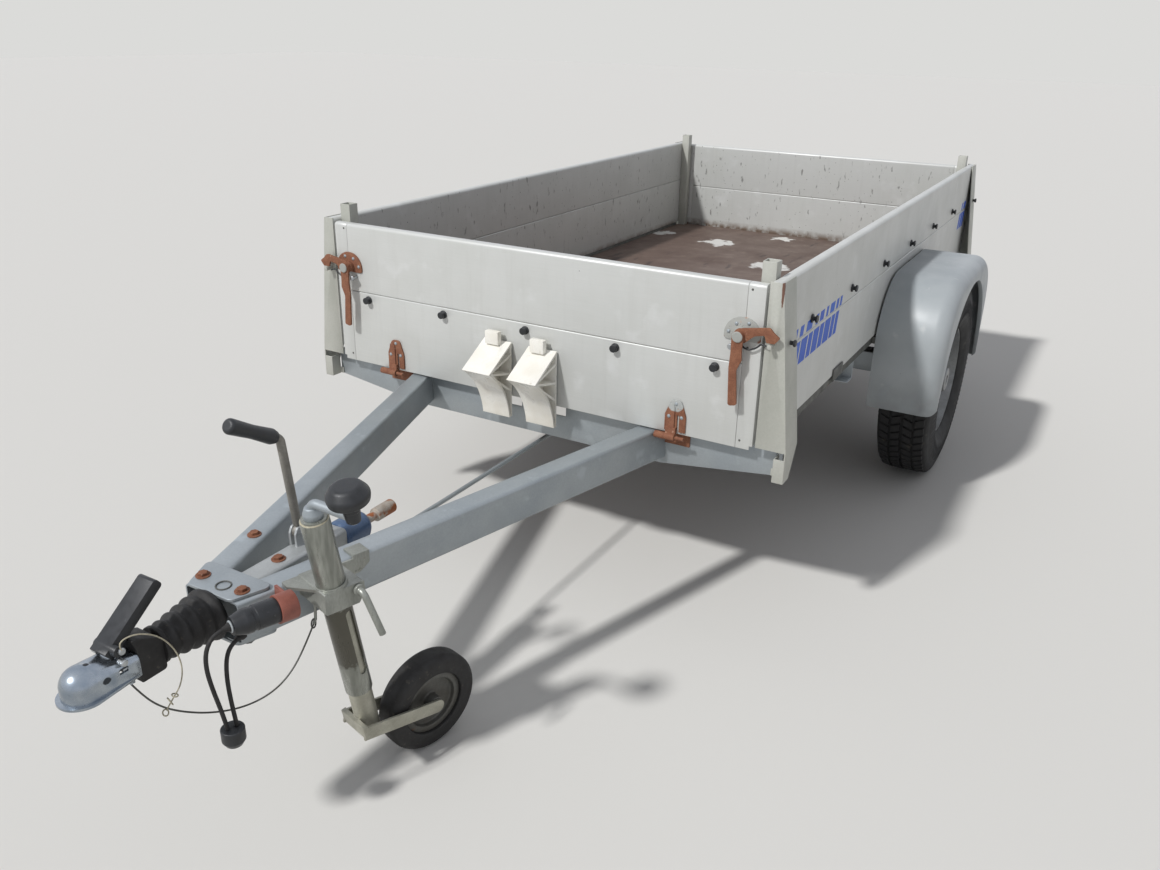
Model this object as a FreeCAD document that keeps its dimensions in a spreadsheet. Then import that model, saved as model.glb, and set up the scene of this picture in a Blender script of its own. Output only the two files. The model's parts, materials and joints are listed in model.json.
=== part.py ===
import FreeCAD, Part

import math
import os
from types import SimpleNamespace

from FreeCAD import Placement, Rotation, Vector

# A single-axle utility trailer with an overrun brake, in millimetres.
# X runs across it, the coupling points towards -Y, and Z is the height above the floor.
# Lengths along Y are counted from the outer face of the front board, and
# every sub-part's Placement then moves the whole trailer so that it is centred on the origin.

DRIVING_SIZES = [
    # name, millimetres (or degrees), what it is
    ("box_length", 2177, "front board face to tailgate face"),
    ("box_width", 1204, "over the side walls"),
    ("wall_thickness", 25, "boards and side walls"),
    ("board_height", 350, "front board and tailgate"),
    ("board_bottom", 475, "lower edge of the boards above the floor"),
    ("board_side_gap", 6, "board end to side wall"),
    ("board_end_width", 38, "end profiles of the boards"),
    ("board_crown", 8, "rounded top edges of boards and side walls"),
    ("lip_drop", 9, "lip that hangs below the boards"),
    ("lip_sheet", 3, "the same lip"),
    ("lip_inset", 7, "lip's ends from the board's ends"),
    ("plank_height", 179, "lower plank of each wall"),
    ("seam_gap", 0.6, "between the planks"),
    ("plank_round", 3, "rounded plank edges"),
    ("side_lift", 25, "side walls start higher than the boards"),
    ("side_rise", 8, "side walls end higher than the boards"),
    ("floor_thickness", 15, "plywood floor"),
    ("knob_radius", 10, "foot of the black rope knobs"),
    ("knob_neck", 5, "their neck"),
    ("knob_head", 8.5, "their head"),
    ("knob_length", 14, "how far they stand out"),
    ("board_knob_inset", 97, "outer knobs from the board's ends"),
    ("board_knob_count", 5, "knobs on a board"),
    ("board_knob_drop", 17, "below the seam"),
    ("side_knob_count", 6, "knobs on a side wall"),
    ("side_knob_first", 229, "from the front face"),
    ("side_knob_last", 348, "from the tailgate's face"),
    ("side_knob_rise", 28, "above the seam"),
    ("post_sheet", 3, "folded corner posts"),
    ("post_foot_flare", 43, "post's foot beyond the side walls"),
    ("post_return", 75, "how far the fold runs back"),
    ("post_foot_height", 70, "foot below the boards"),
    ("post_foot_gap", 16, "open between the foot's front and the boards' edge"),
    ("post_foot_width", 25, "foot across"),
    ("post_foot_depth", 36, "foot along the trailer"),
    ("post_tab_height", 16, "tab that joins the foot and the front cross member"),
    ("post_tab_overlap", 9, "the same tab over the member's end"),
    ("sill_inset", 5, "sill behind the side wall's face"),
    ("stake_size", 30, "square corner stakes"),
    ("stake_wall", 2.5, "corner stakes"),
    ("stake_rise", 40, "above the boards"),
    ("stake_clearance", 6, "behind the boards"),
    ("channel_height", 50, "cross members"),
    ("channel_depth", 45, "their flanges"),
    ("channel_sheet", 3, "their wall"),
    ("front_member_overhang", 15, "front cross member beyond the side walls"),
    ("front_member_end", 68, "its height at its ends"),
    ("front_member_height", 103, "its height between the drawbar tubes"),
    ("bearer_ahead", 560, "front bearer's face ahead of the axle"),
    ("bearer_behind", 440, "rear bearer's face behind the axle"),
    ("rail_height", 60, "side rails"),
    ("rail_width", 40, "side rails across"),
    ("rail_inset", 122, "side rails' centres from the side walls' faces"),
    ("tube_width", 50, "drawbar tubes across"),
    ("tube_height", 78, "drawbar tubes"),
    ("tube_wall", 3, "drawbar tubes"),
    ("tube_round", 8, "their rounded corners"),
    ("tube_rear_spread", 322, "tube centre at the front board's face"),
    ("tube_front_spread", 46, "tube centre at the front bolts"),
    ("tube_front_reach", 906, "front bolts ahead of the front board"),
    ("tube_overhang", 34, "tubes ahead of the front bolts"),
    ("tube_rear_top", 463, "top of the tubes at the front board"),
    ("tube_front_top", 431, "top of the tubes at the front bolts"),
    ("plate_thickness", 6, "drawbar plates"),
    ("plate_length", 68, "drawbar plates along the trailer"),
    ("plate_overhang", 4, "drawbar plates ahead of the tubes' ends"),
    ("plate_front_width", 100, "drawbar plates across the front"),
    ("plate_rear_width", 156, "drawbar plates across the rear"),
    ("coupling_ahead", 270, "ball centre ahead of the front bolts"),
    ("coupling_height", 405, "ball centre above the floor"),
    ("ball_socket_radius", 25.4, "socket for a 50 mm towball"),
    ("coupling_wall", 4.6, "pressed coupling head"),
    ("coupling_skirt", 21, "its rim below the ball's centre"),
    ("coupling_rim", 37, "radius of the rim's flange"),
    ("coupling_rim_sheet", 4, "the rim's flange"),
    ("coupling_body", 76, "head behind the ball's centre"),
    ("coupling_slope", 15, "how much lower its rear end is"),
    ("coupling_round", 11, "rounded edges of its rear end"),
    ("handle_behind", 32, "handle's front end behind the ball"),
    ("handle_rise", 34.8, "handle's front end above the ball"),
    ("handle_length", 127, "coupling handle"),
    ("handle_width", 35, "coupling handle"),
    ("handle_depth", 18, "coupling handle"),
    ("handle_wall", 3, "coupling handle"),
    ("handle_slope", 38, "degrees, tip upwards"),
    ("handle_pivot_radius", 9, "its pivot"),
    ("shaft_radius", 20, "coupling shaft"),
    ("shaft_drop", 8, "shaft's centre below the ball's"),
    ("cover_width", 50, "black cover over the shaft"),
    ("bellows_ahead", 38, "rear end of the bellows ahead of the front bolts"),
    ("bellows_length", 109, "bellows"),
    ("bellows_radius", 49, "bellows at the rear"),
    ("bellows_front_radius", 32, "collar at its front"),
    ("bellows_collar", 10, "the same collar's length"),
    ("bellows_folds", 5, "number of crests"),
    ("housing_width", 50, "overrun housing"),
    ("housing_height", 50, "overrun housing"),
    ("housing_round", 8, "its rounded corners"),
    ("housing_behind", 256, "its rear end behind the front bolts"),
    ("damper_radius", 30, "brake damper"),
    ("damper_length", 68, "brake damper"),
    ("strut_length", 88, "handbrake's gas strut behind the damper"),
    ("rod_radius", 5, "brake rod"),
    ("rod_hanger_length", 60, "brake rod's hanger under the housing"),
    ("equaliser_gap", 60, "brake equaliser ahead of the axle beam"),
    ("equaliser_half", 70, "brake equaliser, half its width"),
    ("rod_height", 335, "brake rod above the floor"),
    ("axle_reach", 1210, "axle behind the front board"),
    ("axle_arm", 150, "trailing arm, pivot to stub"),
    ("axle_arm_drop", 27, "degrees below level"),
    ("axle_beam_size", 60, "square axle beam"),
    ("axle_arm_gap", 42, "from the tyre to the beam's end"),
    ("wheel_outset", 103, "tyre's middle beyond the side walls"),
    ("tyre_radius", 298, "road tyre"),
    ("tyre_width", 165, "road tyre"),
    ("rim_radius", 171, "over the rim's flanges"),
    ("rim_width", 130, "over the rim's flanges"),
    ("rim_sheet", 4, "pressed rim"),
    ("hub_radius", 62, "hub and brake drum boss"),
    ("drum_radius", 115, "brake drum"),
    ("stub_radius", 15, "stub axle"),
    ("fit_gap", 0.3, "between pieces that touch"),
    ("guard_gap", 6, "mudguard's inner edge beyond the side walls"),
    ("guard_width", 192, "mudguard across"),
    ("guard_front", 345, "ahead of the axle"),
    ("guard_rear", 345, "behind the axle"),
    ("guard_top", 655, "mudguard's top above the floor"),
    ("guard_bottom", 292, "mudguard's lower ends"),
    ("guard_bend", 185, "mudguard's corners"),
    ("guard_edge", 42, "rounded outer edge"),
    ("guard_opening", 312, "radius of the wheel opening in the outer skirt"),
    ("guard_lip", 9, "how far its edge turns inwards"),
    ("guard_flange", 32, "how deep the inner flange is"),
    ("guard_corner", 21, "rounded lower corners"),
    ("guard_sheet", 3, "mudguard"),
    ("guard_block_length", 27, "blocks that carry the mudguard"),
    ("jockey_standoff", 39.2, "jockey wheel's tube from the side of the drawbar tube"),
    ("jockey_behind", 81, "jockey wheel's tube behind the front bolts"),
    ("jockey_height", 415, "where its axis passes the clamp, above the floor"),
    ("jockey_lean", 10, "degrees, top towards the coupling"),
    ("jockey_radius", 24, "outer tube"),
    ("jockey_wall", 2.9, "outer tube"),
    ("jockey_above", 160, "outer tube above the clamp's middle"),
    ("jockey_below", 208, "outer tube below the clamp's middle"),
    ("jockey_slot_width", 14, "slot in the outer tube"),
    ("jockey_slot_top", 22, "its upper end below the clamp's middle"),
    ("jockey_slot_length", 143, "the same slot"),
    ("jockey_leg_radius", 21, "inner tube"),
    ("jockey_leg_end", 306, "inner tube's end below the clamp's middle"),
    ("jockey_leg_wall", 2.5, "inner tube"),
    ("jockey_leg_top", 60, "inner tube's top above the clamp's middle"),
    ("jockey_leg_cap", 20, "thick wall on its top"),
    ("jockey_cap", 5, "wall on the outer tube's top, and the bearing ring on it"),
    ("jockey_nut_bottom", 20, "screw's nut, from the clamp's middle"),
    ("spindle_radius", 8, "jockey screw"),
    ("spindle_end", 135, "screw's end below the clamp's middle"),
    ("crank_rise", 34, "crank arm above the outer tube"),
    ("crank_reach", 92, "crank arm"),
    ("crank_knob", 35, "radius of the crank's knob"),
    ("jockey_wheel_radius", 100, "jockey wheel"),
    ("jockey_wheel_width", 50, "jockey wheel"),
    ("jockey_tyre_round", 14, "rounded edges of its tyre"),
    ("jockey_rim_radius", 64, "its rim"),
    ("jockey_pin_radius", 5, "its axle"),
    ("jockey_trail", 128, "wheel centre behind the tube"),
    ("jockey_swivel", 14, "degrees, towards the right side"),
    ("fork_sheet", 5, "fork arms"),
    ("fork_height", 27, "fork arms"),
    ("fork_gap", 5, "wheel to fork arm"),
    ("clamp_height", 38.5, "jockey clamp"),
    ("clamp_drop", 10, "its lower face below the clamp's middle"),
    ("clamp_length", 73, "jockey clamp along the drawbar tube"),
    ("clamp_ahead", 32.4, "its front face ahead of the jockey wheel's tube"),
    ("clamp_sheet", 4, "its wall outside the jockey wheel's tube"),
    ("hinge_inset", 179, "board hinges from the board's ends"),
    ("hinge_width", 50, "board hinges"),
    ("hinge_height", 85, "hinge leaf above its pin"),
    ("hinge_pin_out", 10, "pin ahead of the board's face"),
    ("hinge_pin_drop", 15, "pin below the board"),
    ("hinge_radius", 8, "hinge knuckle"),
    ("hinge_knuckle", 24, "length of each knuckle"),
    ("hinge_pin_radius", 4, "hinge pin"),
    ("hinge_sheet", 4, "hinge plates"),
    ("hinge_rib", 3, "raised rib on the leaf"),
    ("pin_gap", 0.1, "round a pin"),
    ("latch_inset", 43.5, "latch pivot from the board's end"),
    ("latch_drop", 107, "latch pivot below the board's top"),
    ("latch_out", 30, "how far the latch stands out"),
    ("latch_claw_out", 12, "rear face of the claw"),
    ("latch_lever_out", 21, "rear face of the lever"),
    ("latch_sheet", 5, "claw and lever"),
    ("claw_reach", 66, "middle of the claw's tip, out from the latch pivot"),
    ("claw_drop", 5.5, "claw's tip below the latch pivot"),
    ("lug_radius", 5, "lug that the claw holds"),
    ("lug_gap", 2, "claw above the lug"),
    ("chock_width", 77, "wheel chock"),
    ("chock_pitch", 125, "between the two chocks"),
    ("chock_centre", 12.5, "middle of the pair, left of the centre line"),
    ("chock_length", 186, "chock's flat base"),
    ("chock_depth", 94, "chock's nose"),
    ("chock_drop", 223, "top of the chocks below the board's top"),
    ("chock_clearance", 5, "round the chocks' tails where they swing through the front cross member"),
    ("chock_wall", 5, "moulded walls and ribs of a chock"),
    ("chock_web", 11, "web in the middle of a chock"),
    ("chock_bracket", 4, "chock holder"),
    ("lever_offset", 12, "handbrake lever, left of the centre line"),
    ("lever_behind", 174, "handbrake pivot behind the front bolts"),
    ("lever_pivot_rise", 24, "handbrake pivot above the housing"),
    ("lever_pin_radius", 5, "handbrake's pivot pin"),
    ("lever_radius", 8, "handbrake lever"),
    ("lever_bend_ahead", 18, "its bend ahead of the pivot"),
    ("lever_bend_height", 633, "its bend above the floor"),
    ("grip_radius", 14, "handbrake grip"),
    ("grip_length", 109, "handbrake grip"),
    ("grip_slope", 30, "degrees, tip upwards"),
    ("plug_ahead", 84, "front end of the parked plug ahead of the front bolts"),
    ("plug_offset", 57.5, "the same from the side of the drawbar tube"),
    ("plug_height", 433, "the same above the floor"),
    ("plug_radius", 21, "plug body"),
    ("plug_length", 74, "plug body"),
    ("plug_collar", 30, "red collar that holds the plug"),
    ("plug_holder_sheet", 5, "its arm"),
    ("side_plate_front", 463, "plates on the side walls' lower edges, from the nearer end"),
    ("side_plate_length", 81, "the same plates"),
    ("side_plate_below", 13, "the same plates below the side walls"),
    ("side_plate_above", 18, "the same plates above the side walls' lower edges"),
    ("lamp_length", 150, "rear lamps"),
    ("lamp_height", 62, "rear lamps"),
    ("lamp_depth", 42, "rear lamps"),
    ("lamp_round", 8, "their rounded corners"),
    ("lamp_drop", 6, "below the rear cross member"),
    ("lamp_inset", 4, "their faces ahead of the tailgate's face"),
    ("lamp_offset", 370, "lamp centre from the centre line"),
    ("lead_radius", 3.5, "electrical lead"),
    ("wire_radius", 1.5, "breakaway wire"),
]

doc = FreeCAD.newDocument("utility_trailer")
sheet = doc.addObject("Spreadsheet::Sheet", "sizes")
for row, (name, value, note) in enumerate(DRIVING_SIZES, start=1):
    sheet.set(f"A{row}", name)
    sheet.set(f"B{row}", str(value))
    sheet.set(f"C{row}", note)
    sheet.setAlias(f"B{row}", name)
doc.recompute()
size = SimpleNamespace(**{name: float(sheet.get(name)) for name, value, note in DRIVING_SIZES})

# Sizes that follow from the driving sizes
half_box = size.box_width / 2
wall_inner = half_box - size.wall_thickness
board_half = wall_inner - size.board_side_gap
board_top = size.board_bottom + size.board_height
board_seam = size.board_bottom + size.plank_height
side_bottom = size.board_bottom + size.side_lift
side_top = board_top + size.side_rise
side_seam = side_bottom + size.plank_height
floor_top = size.board_bottom + size.floor_thickness
sill_outer = half_box - size.sill_inset
stake_front = size.wall_thickness + size.stake_clearance
stake_inner = wall_inner - size.fit_gap - size.stake_size
post_foot_outer = half_box + size.post_foot_flare
rear_face = size.box_length
wheel_x = half_box + size.wheel_outset
axle_height = size.tyre_radius
rail_top = size.board_bottom
rail_bottom = rail_top - size.rail_height
channel_bottom = size.board_bottom - size.channel_height
front_bolts = -size.tube_front_reach
ball_y = front_bolts - size.coupling_ahead
head_radius = size.ball_socket_radius + size.coupling_wall
shaft_height = size.coupling_height - size.shaft_drop
rear_reach = rear_face + size.latch_out
centre_shift = (size.coupling_rim - ball_y - rear_reach) / 2

ALONG_X = Vector(1, 0, 0)
ALONG_Y = Vector(0, 1, 0)
UP = Vector(0, 0, 1)
DOWN = Vector(0, 0, -1)
YZ_TURN = Rotation(Vector(1, 1, 1), 120)
XZ_TURN = Rotation(ALONG_X, 90)

subparts = []


def bind(item, **cells):
    """Tie properties of an object to cells of the sheet."""
    for prop, text in cells.items():
        item.setExpression(prop, text)
    return item


def put(item, at=(0, 0, 0), axis=UP, angle=0):
    item.Placement = Placement(Vector(*at), Rotation(axis, angle))
    return item


def subpart(name, *pieces):
    """One named sub-part, moved from the front board's datum to the trailer's own origin."""
    item = doc.addObject("Part::Compound", name)
    item.Label = name
    item.Links = list(pieces)
    item.Placement = Placement(Vector(0, centre_shift, 0), Rotation())
    subparts.append(item)
    return item


def box(name, x_range, y_range, z_range, **cells):
    """A block between two corners; cells names the sides that are sizes of the sheet."""
    item = doc.addObject("Part::Box", name)
    item.Length = x_range[1] - x_range[0]
    item.Width = y_range[1] - y_range[0]
    item.Height = z_range[1] - z_range[0]
    bind(item, **cells)
    return put(item, (x_range[0], y_range[0], z_range[0]))


def cylinder(name, radius, height, at, axis=UP, angle=0):
    """radius and height are cells of the sheet."""
    item = doc.addObject("Part::Cylinder", name)
    bind(item, Radius=radius, Height=height)
    return put(item, at, axis, angle)


def combine(kind, name, *pieces):
    item = doc.addObject("Part::Multi" + kind, name)
    item.Shapes = list(pieces)
    return item


def cut(name, base, tool):
    item = doc.addObject("Part::Cut", name)
    item.Base = base
    item.Tool = tool
    return item


def mirrored(name, source):
    item = doc.addObject("Part::Mirroring", name)
    item.Source = source
    item.Normal = ALONG_X
    return item


def mirrored_subpart(name, source):
    item = mirrored(name, source)
    item.Label = name
    subparts.append(item)


def copied(name, source, at, axis=UP, angle=0):
    item = doc.addObject("Part::Compound", name)
    item.Links = [source]
    return put(item, at, axis, angle)


def turned_to_rear(name, source):
    """The same piece at the tailgate's end: turned half a turn about the box's middle."""
    return copied(name, source, (0, rear_face, 0), UP, 180)


def solid(name, shape):
    item = doc.addObject("Part::Feature", name)
    item.Shape = shape
    return item


def rounded(corners):
    """Lines and arcs of a closed outline. Each corner is x, y and an optional radius."""
    points = [Vector(corner[0], corner[1], 0) for corner in corners]
    radii = [corner[2] if len(corner) > 2 else 0 for corner in corners]
    starts, ends, arcs = [], [], []
    for index, point in enumerate(points):
        before = (points[index - 1] - point).normalize()
        after = (points[(index + 1) % len(points)] - point).normalize()
        radius = radii[index]
        if not radius:
            starts.append(point)
            ends.append(point)
            arcs.append(None)
            continue
        half_angle = before.getAngle(after) / 2
        reach = radius / math.tan(half_angle)
        middle_way = (before + after).normalize()
        centre = point + middle_way * (radius / math.sin(half_angle))
        first = point + before * reach
        last = point + after * reach
        starts.append(first)
        ends.append(last)
        arcs.append(Part.Arc(first, centre - middle_way * radius, last))
    edges = []
    for index in range(len(points)):
        following = (index + 1) % len(points)
        if arcs[index]:
            edges.append(arcs[index])
        if (starts[following] - ends[index]).Length > 1e-4:
            edges.append(Part.LineSegment(ends[index], starts[following]))
    return edges


def outline_wire(corners, place=Vector(0, 0, 0), turn=Rotation()):
    wire = Part.Wire([edge.toShape() for edge in rounded(corners)])
    wire.Placement = Placement(place, turn)
    return wire


def new_sketch(body, plane, outlines):
    sketch = body.newObject("Sketcher::SketchObject", body.Name + "_outline")
    support = [item for item in body.Origin.OriginFeatures if item.Role == plane][0]
    sketch.AttachmentSupport = [(support, "")]
    sketch.MapMode = "FlatFace"
    for corners in outlines:
        sketch.addGeometry(rounded(corners))
    return sketch


def pad(name, plane, outlines, length, at=(0, 0, 0), axis=UP, angle=0):
    """A padded outline; length is a cell of the sheet or a formula of cells."""
    body = doc.addObject("PartDesign::Body", name)
    feature = body.newObject("PartDesign::Pad", name + "_pad")
    feature.Profile = new_sketch(body, plane, outlines)
    bind(feature, Length=length)
    return put(body, at, axis, angle)


def revolution(name, outlines, at=(0, 0, 0), axis=UP, angle=0):
    """Outlines in the XZ plane, turned about Z."""
    body = doc.addObject("PartDesign::Body", name)
    sketch = new_sketch(body, "XZ_Plane", outlines)
    feature = body.newObject("PartDesign::Revolution", name + "_turn")
    feature.Profile = sketch
    feature.ReferenceAxis = (sketch, ["V_Axis"])
    feature.Angle = 360
    return put(body, at, axis, angle)


def path_edges(points, radii):
    """Straight runs joined by tangent arcs."""
    edges = []
    last = points[0]
    for index in range(1, len(points) - 1):
        before = (points[index - 1] - points[index]).normalize()
        after = (points[index + 1] - points[index]).normalize()
        half_angle = before.getAngle(after) / 2
        reach = radii[index - 1] / math.tan(half_angle)
        middle_way = (before + after).normalize()
        centre = points[index] + middle_way * (radii[index - 1] / math.sin(half_angle))
        first = points[index] + before * reach
        middle = centre - middle_way * radii[index - 1]
        edges.append(Part.LineSegment(last, first))
        last = points[index] + after * reach
        edges.append(Part.Arc(first, middle, last))
    edges.append(Part.LineSegment(last, points[-1]))
    return edges


def bent_rod(points, radii, radius):
    path = Part.Wire([edge.toShape() for edge in path_edges(points, radii)])
    start = (points[1] - points[0]).normalize()
    ring = Part.Wire([Part.makeCircle(radius, points[0], start)])
    return path.makePipeShell([ring], True, False)


# Front board and tailgate: two planks between end profiles, with a lip below
def board_piece(name, start, length, bottom, top, crown, lip):
    thickness = size.wall_thickness
    low = size.plank_round
    corners = [(thickness, bottom, low), (thickness, top, crown), (0, top, crown)]
    if lip:
        corners += [(0, bottom - size.lip_drop), (size.lip_sheet, bottom - size.lip_drop), (size.lip_sheet, bottom)]
    else:
        corners += [(0, bottom, low)]
    return pad(name, "YZ_Plane", [corners], length, at=(start, 0, 0))


half_seam = size.seam_gap / 2
plank_start = -(board_half - size.board_end_width - size.seam_gap)
plank_length = ("sizes.box_width - 2 * (sizes.wall_thickness + sizes.board_side_gap"
                " + sizes.board_end_width + sizes.seam_gap)")
board_lower = board_piece("board_lower", plank_start, plank_length, size.board_bottom,
                          board_seam - half_seam, size.plank_round, True)
board_upper = board_piece("board_upper", plank_start, plank_length, board_seam + half_seam,
                          board_top, size.board_crown, False)
board_end = board_piece("board_end", board_half - size.board_end_width, "sizes.board_end_width",
                        size.board_bottom, board_top, size.board_crown, True)
lip_notch = box("lip_notch", (board_half - size.lip_inset, board_half + 1), (-1, size.lip_sheet + 1),
                (size.board_bottom - size.lip_drop - 1, size.board_bottom))
right_end = cut("board_end_right", board_end, lip_notch)
left_end = mirrored("board_end_left", right_end)
board_pieces = [board_lower, board_upper, right_end, left_end]
subpart("front_board", *board_pieces)
subpart("tailgate_board", *[turned_to_rear(f"tailgate_piece{n}", piece) for n, piece in enumerate(board_pieces)])


# Side walls between the posts
def side_plank(name, bottom, top, crown):
    thickness = size.wall_thickness
    inset = size.post_sheet + size.fit_gap
    low = size.plank_round
    outline = [(0, bottom, low), (thickness, bottom, low), (thickness, top, crown), (0, top, crown)]
    length = "sizes.box_length - 2 * (sizes.post_sheet + sizes.fit_gap)"
    return pad(name, "XZ_Plane", [outline], length, at=(wall_inner, rear_face - inset, 0))


side_lower = side_plank("side_lower", side_bottom, side_seam - half_seam, size.plank_round)
side_upper = side_plank("side_upper", side_seam + half_seam, side_top, size.board_crown)
right_wall = subpart("side_wall_right", side_lower, side_upper)
mirrored_subpart("side_wall_left", right_wall)


# Black rope knobs on the boards and on the side walls: a foot, a neck and a head
foot_rise, head_rise, knob_edge = 3, 10, 1
knob_outline = [(0, 0), (size.knob_radius, 0), (size.knob_radius, foot_rise, knob_edge),
                (size.knob_neck, foot_rise + 2, knob_edge), (size.knob_neck, head_rise - 2, knob_edge),
                (size.knob_head, head_rise, knob_edge), (size.knob_head, size.knob_length, knob_edge),
                (0, size.knob_length)]
knob = revolution("knob", [knob_outline])
board_knob_step = 2 * (board_half - size.board_knob_inset) / (size.board_knob_count - 1)
side_knob_step = (rear_face - size.side_knob_first - size.side_knob_last) / (size.side_knob_count - 1)
front_knobs = []
for index in range(int(size.board_knob_count)):
    place = (-board_half + size.board_knob_inset + index * board_knob_step, 0, board_seam - size.board_knob_drop)
    front_knobs.append(copied(f"board_knob{index}", knob, place, ALONG_X, 90))
subpart("front_board_knobs", *front_knobs)
subpart("tailgate_knobs", *[turned_to_rear(f"tailgate_knob{n}", item) for n, item in enumerate(front_knobs)])
side_knobs = []
for index in range(int(size.side_knob_count)):
    for side in (-1, 1):
        place = (side * half_box, size.side_knob_first + index * side_knob_step, side_seam + size.side_knob_rise)
        side_knobs.append(copied(f"side_knob{index}_{side + 1}", knob, place, ALONG_Y, side * 90))
subpart("side_wall_knobs", *side_knobs)


# Corner posts: a folded sheet that flares towards its foot, with the corner stake and the latch's lug
def fold_wire(outer, height):
    wall = size.post_sheet
    back = size.post_return
    corners = [(wall_inner, 0), (outer, 0), (outer, back), (outer - wall, back), (outer - wall, wall), (wall_inner, wall)]
    return Part.makePolygon([Vector(x, y, height) for x, y in corners + corners[:1]])


def post_shape():
    wall = size.post_sheet
    top_outer = half_box + size.fit_gap + wall
    foot_bottom = size.board_bottom - size.post_foot_height
    foot_inner = post_foot_outer - size.post_foot_width
    front_height = size.post_foot_height - size.post_foot_gap
    fold = Part.makeLoft([fold_wire(post_foot_outer, size.board_bottom), fold_wire(top_outer, side_top)], True, True)
    side_corners = [(0, foot_bottom), (size.post_foot_depth, foot_bottom), (size.post_return, size.board_bottom),
                    (0, size.board_bottom)]
    side_points = [Vector(post_foot_outer - wall, y, z) for y, z in side_corners + side_corners[:1]]
    side_sheet = Part.Face(Part.makePolygon(side_points)).extrude(ALONG_X * wall)
    foot = Part.makeBox(size.post_foot_width, stake_front, front_height, Vector(foot_inner, 0, foot_bottom))
    hollow = Part.makeBox(size.post_foot_width - wall, stake_front, front_height, Vector(foot_inner + wall, wall, foot_bottom + wall))
    member_end = half_box + size.front_member_overhang
    tab_start = member_end - size.post_tab_overlap
    tab = Part.makeBox(foot_inner + wall - tab_start, wall, size.post_tab_height,
                       Vector(tab_start, stake_front - wall, size.board_bottom - size.front_member_end))
    lug_length = size.latch_claw_out + 2 * size.latch_sheet
    lug_place = Vector(lug_x, 0, latch_z - size.claw_drop - size.lug_gap - size.lug_radius)
    lug = Part.makeCylinder(size.lug_radius, lug_length + wall, lug_place + ALONG_Y * wall, ALONG_Y * -1)
    stake_height = board_top + size.stake_rise - size.board_bottom
    stake = Part.makeBox(size.stake_size, size.stake_size, stake_height, Vector(stake_inner, stake_front, size.board_bottom))
    stake_room = size.stake_size - 2 * size.stake_wall
    room = Part.makeBox(stake_room, stake_room, stake_height,
                        Vector(stake_inner + size.stake_wall, stake_front + size.stake_wall, size.board_bottom + size.stake_wall))
    post = fold.fuse([side_sheet, foot.cut(hollow), tab, lug]).removeSplitter()
    return Part.makeCompound([post, stake.cut(room)])


latch_x = board_half - size.latch_inset
latch_z = board_top - size.latch_drop
lug_x = latch_x + size.claw_reach
front_right = solid("post_shape", post_shape())
post_front_right = subpart("corner_post_front_right", front_right)
post_rear_left = subpart("corner_post_rear_left", turned_to_rear("rear_left_post", front_right))
mirrored_subpart("corner_post_front_left", post_front_right)
mirrored_subpart("corner_post_rear_right", post_rear_left)


# Floor, sills, cross members and side rails
floor_sheet = box("floor_sheet", (-wall_inner + size.fit_gap, wall_inner - size.fit_gap),
                  (stake_front, rear_face - stake_front), (size.board_bottom, floor_top),
                  Length="sizes.box_width - 2 * (sizes.wall_thickness + sizes.fit_gap)", Height="sizes.floor_thickness")
notch_inner = stake_inner - size.fit_gap
notch_end = stake_front + size.stake_size + size.fit_gap
notches = []
for x_range in [(-wall_inner, -notch_inner), (notch_inner, wall_inner)]:
    for y_range in [(stake_front - 1, notch_end), (rear_face - notch_end, rear_face - stake_front + 1)]:
        notches.append(box(f"notch{len(notches)}", x_range, y_range, (size.board_bottom - 1, floor_top + 1)))
subpart("floor_board", cut("notched_floor", floor_sheet, combine("Fuse", "notches", *notches)))
sill_end = size.post_return + size.fit_gap
right_sill = box("sill", (wall_inner, sill_outer), (sill_end, rear_face - sill_end),
                 (size.board_bottom + size.fit_gap, side_bottom - size.fit_gap),
                 Length="sizes.wall_thickness - sizes.sill_inset", Height="sizes.side_lift - 2 * sizes.fit_gap")
subpart("side_sills", right_sill, mirrored("left_sill", right_sill))


def channel(name, front):
    """A cross member that is open towards the front."""
    depth = size.channel_depth
    wall = size.channel_sheet
    height = size.channel_height
    outline = [
        (0, 0), (depth, 0, wall), (depth, height, wall), (0, height),
        (0, height - wall), (depth - wall, height - wall), (depth - wall, wall), (0, wall),
    ]
    return pad(name, "YZ_Plane", [outline], "sizes.box_width - 2 * sizes.sill_inset", at=(-sill_outer, front, channel_bottom))


def front_member_shape():
    """A pressed tray with its web in front, deeper between the drawbar tubes than at its ends."""
    half = half_box + size.front_member_overhang
    taper = size.tube_rear_spread + size.tube_width / 2
    top = size.board_bottom
    low, end = top - size.front_member_height, top - size.front_member_end
    corners = [(-half, end), (-taper, low), (taper, low), (half, end), (half, top), (-half, top)]
    outer = outline_wire(corners, Vector(0, stake_front, 0), XZ_TURN)
    inner = outer.makeOffset2D(-size.channel_sheet, 2)
    tray = Part.Face(outer).extrude(ALONG_Y * size.channel_depth)
    room = Part.Face(inner).extrude(ALONG_Y * size.channel_depth)
    room.translate(ALONG_Y * size.channel_sheet)
    windows = []
    for side in (-1, 1):
        middle = -size.chock_centre + side * size.chock_pitch / 2
        half_window = size.chock_width / 2 + size.chock_clearance
        window_height = size.channel_height - 2 * size.chock_clearance
        windows.append(Part.makeBox(2 * half_window, size.channel_sheet + 2, window_height,
                                    Vector(middle - half_window, stake_front - 1, channel_bottom + size.chock_clearance)))
    return tray.cut([room] + windows)


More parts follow.
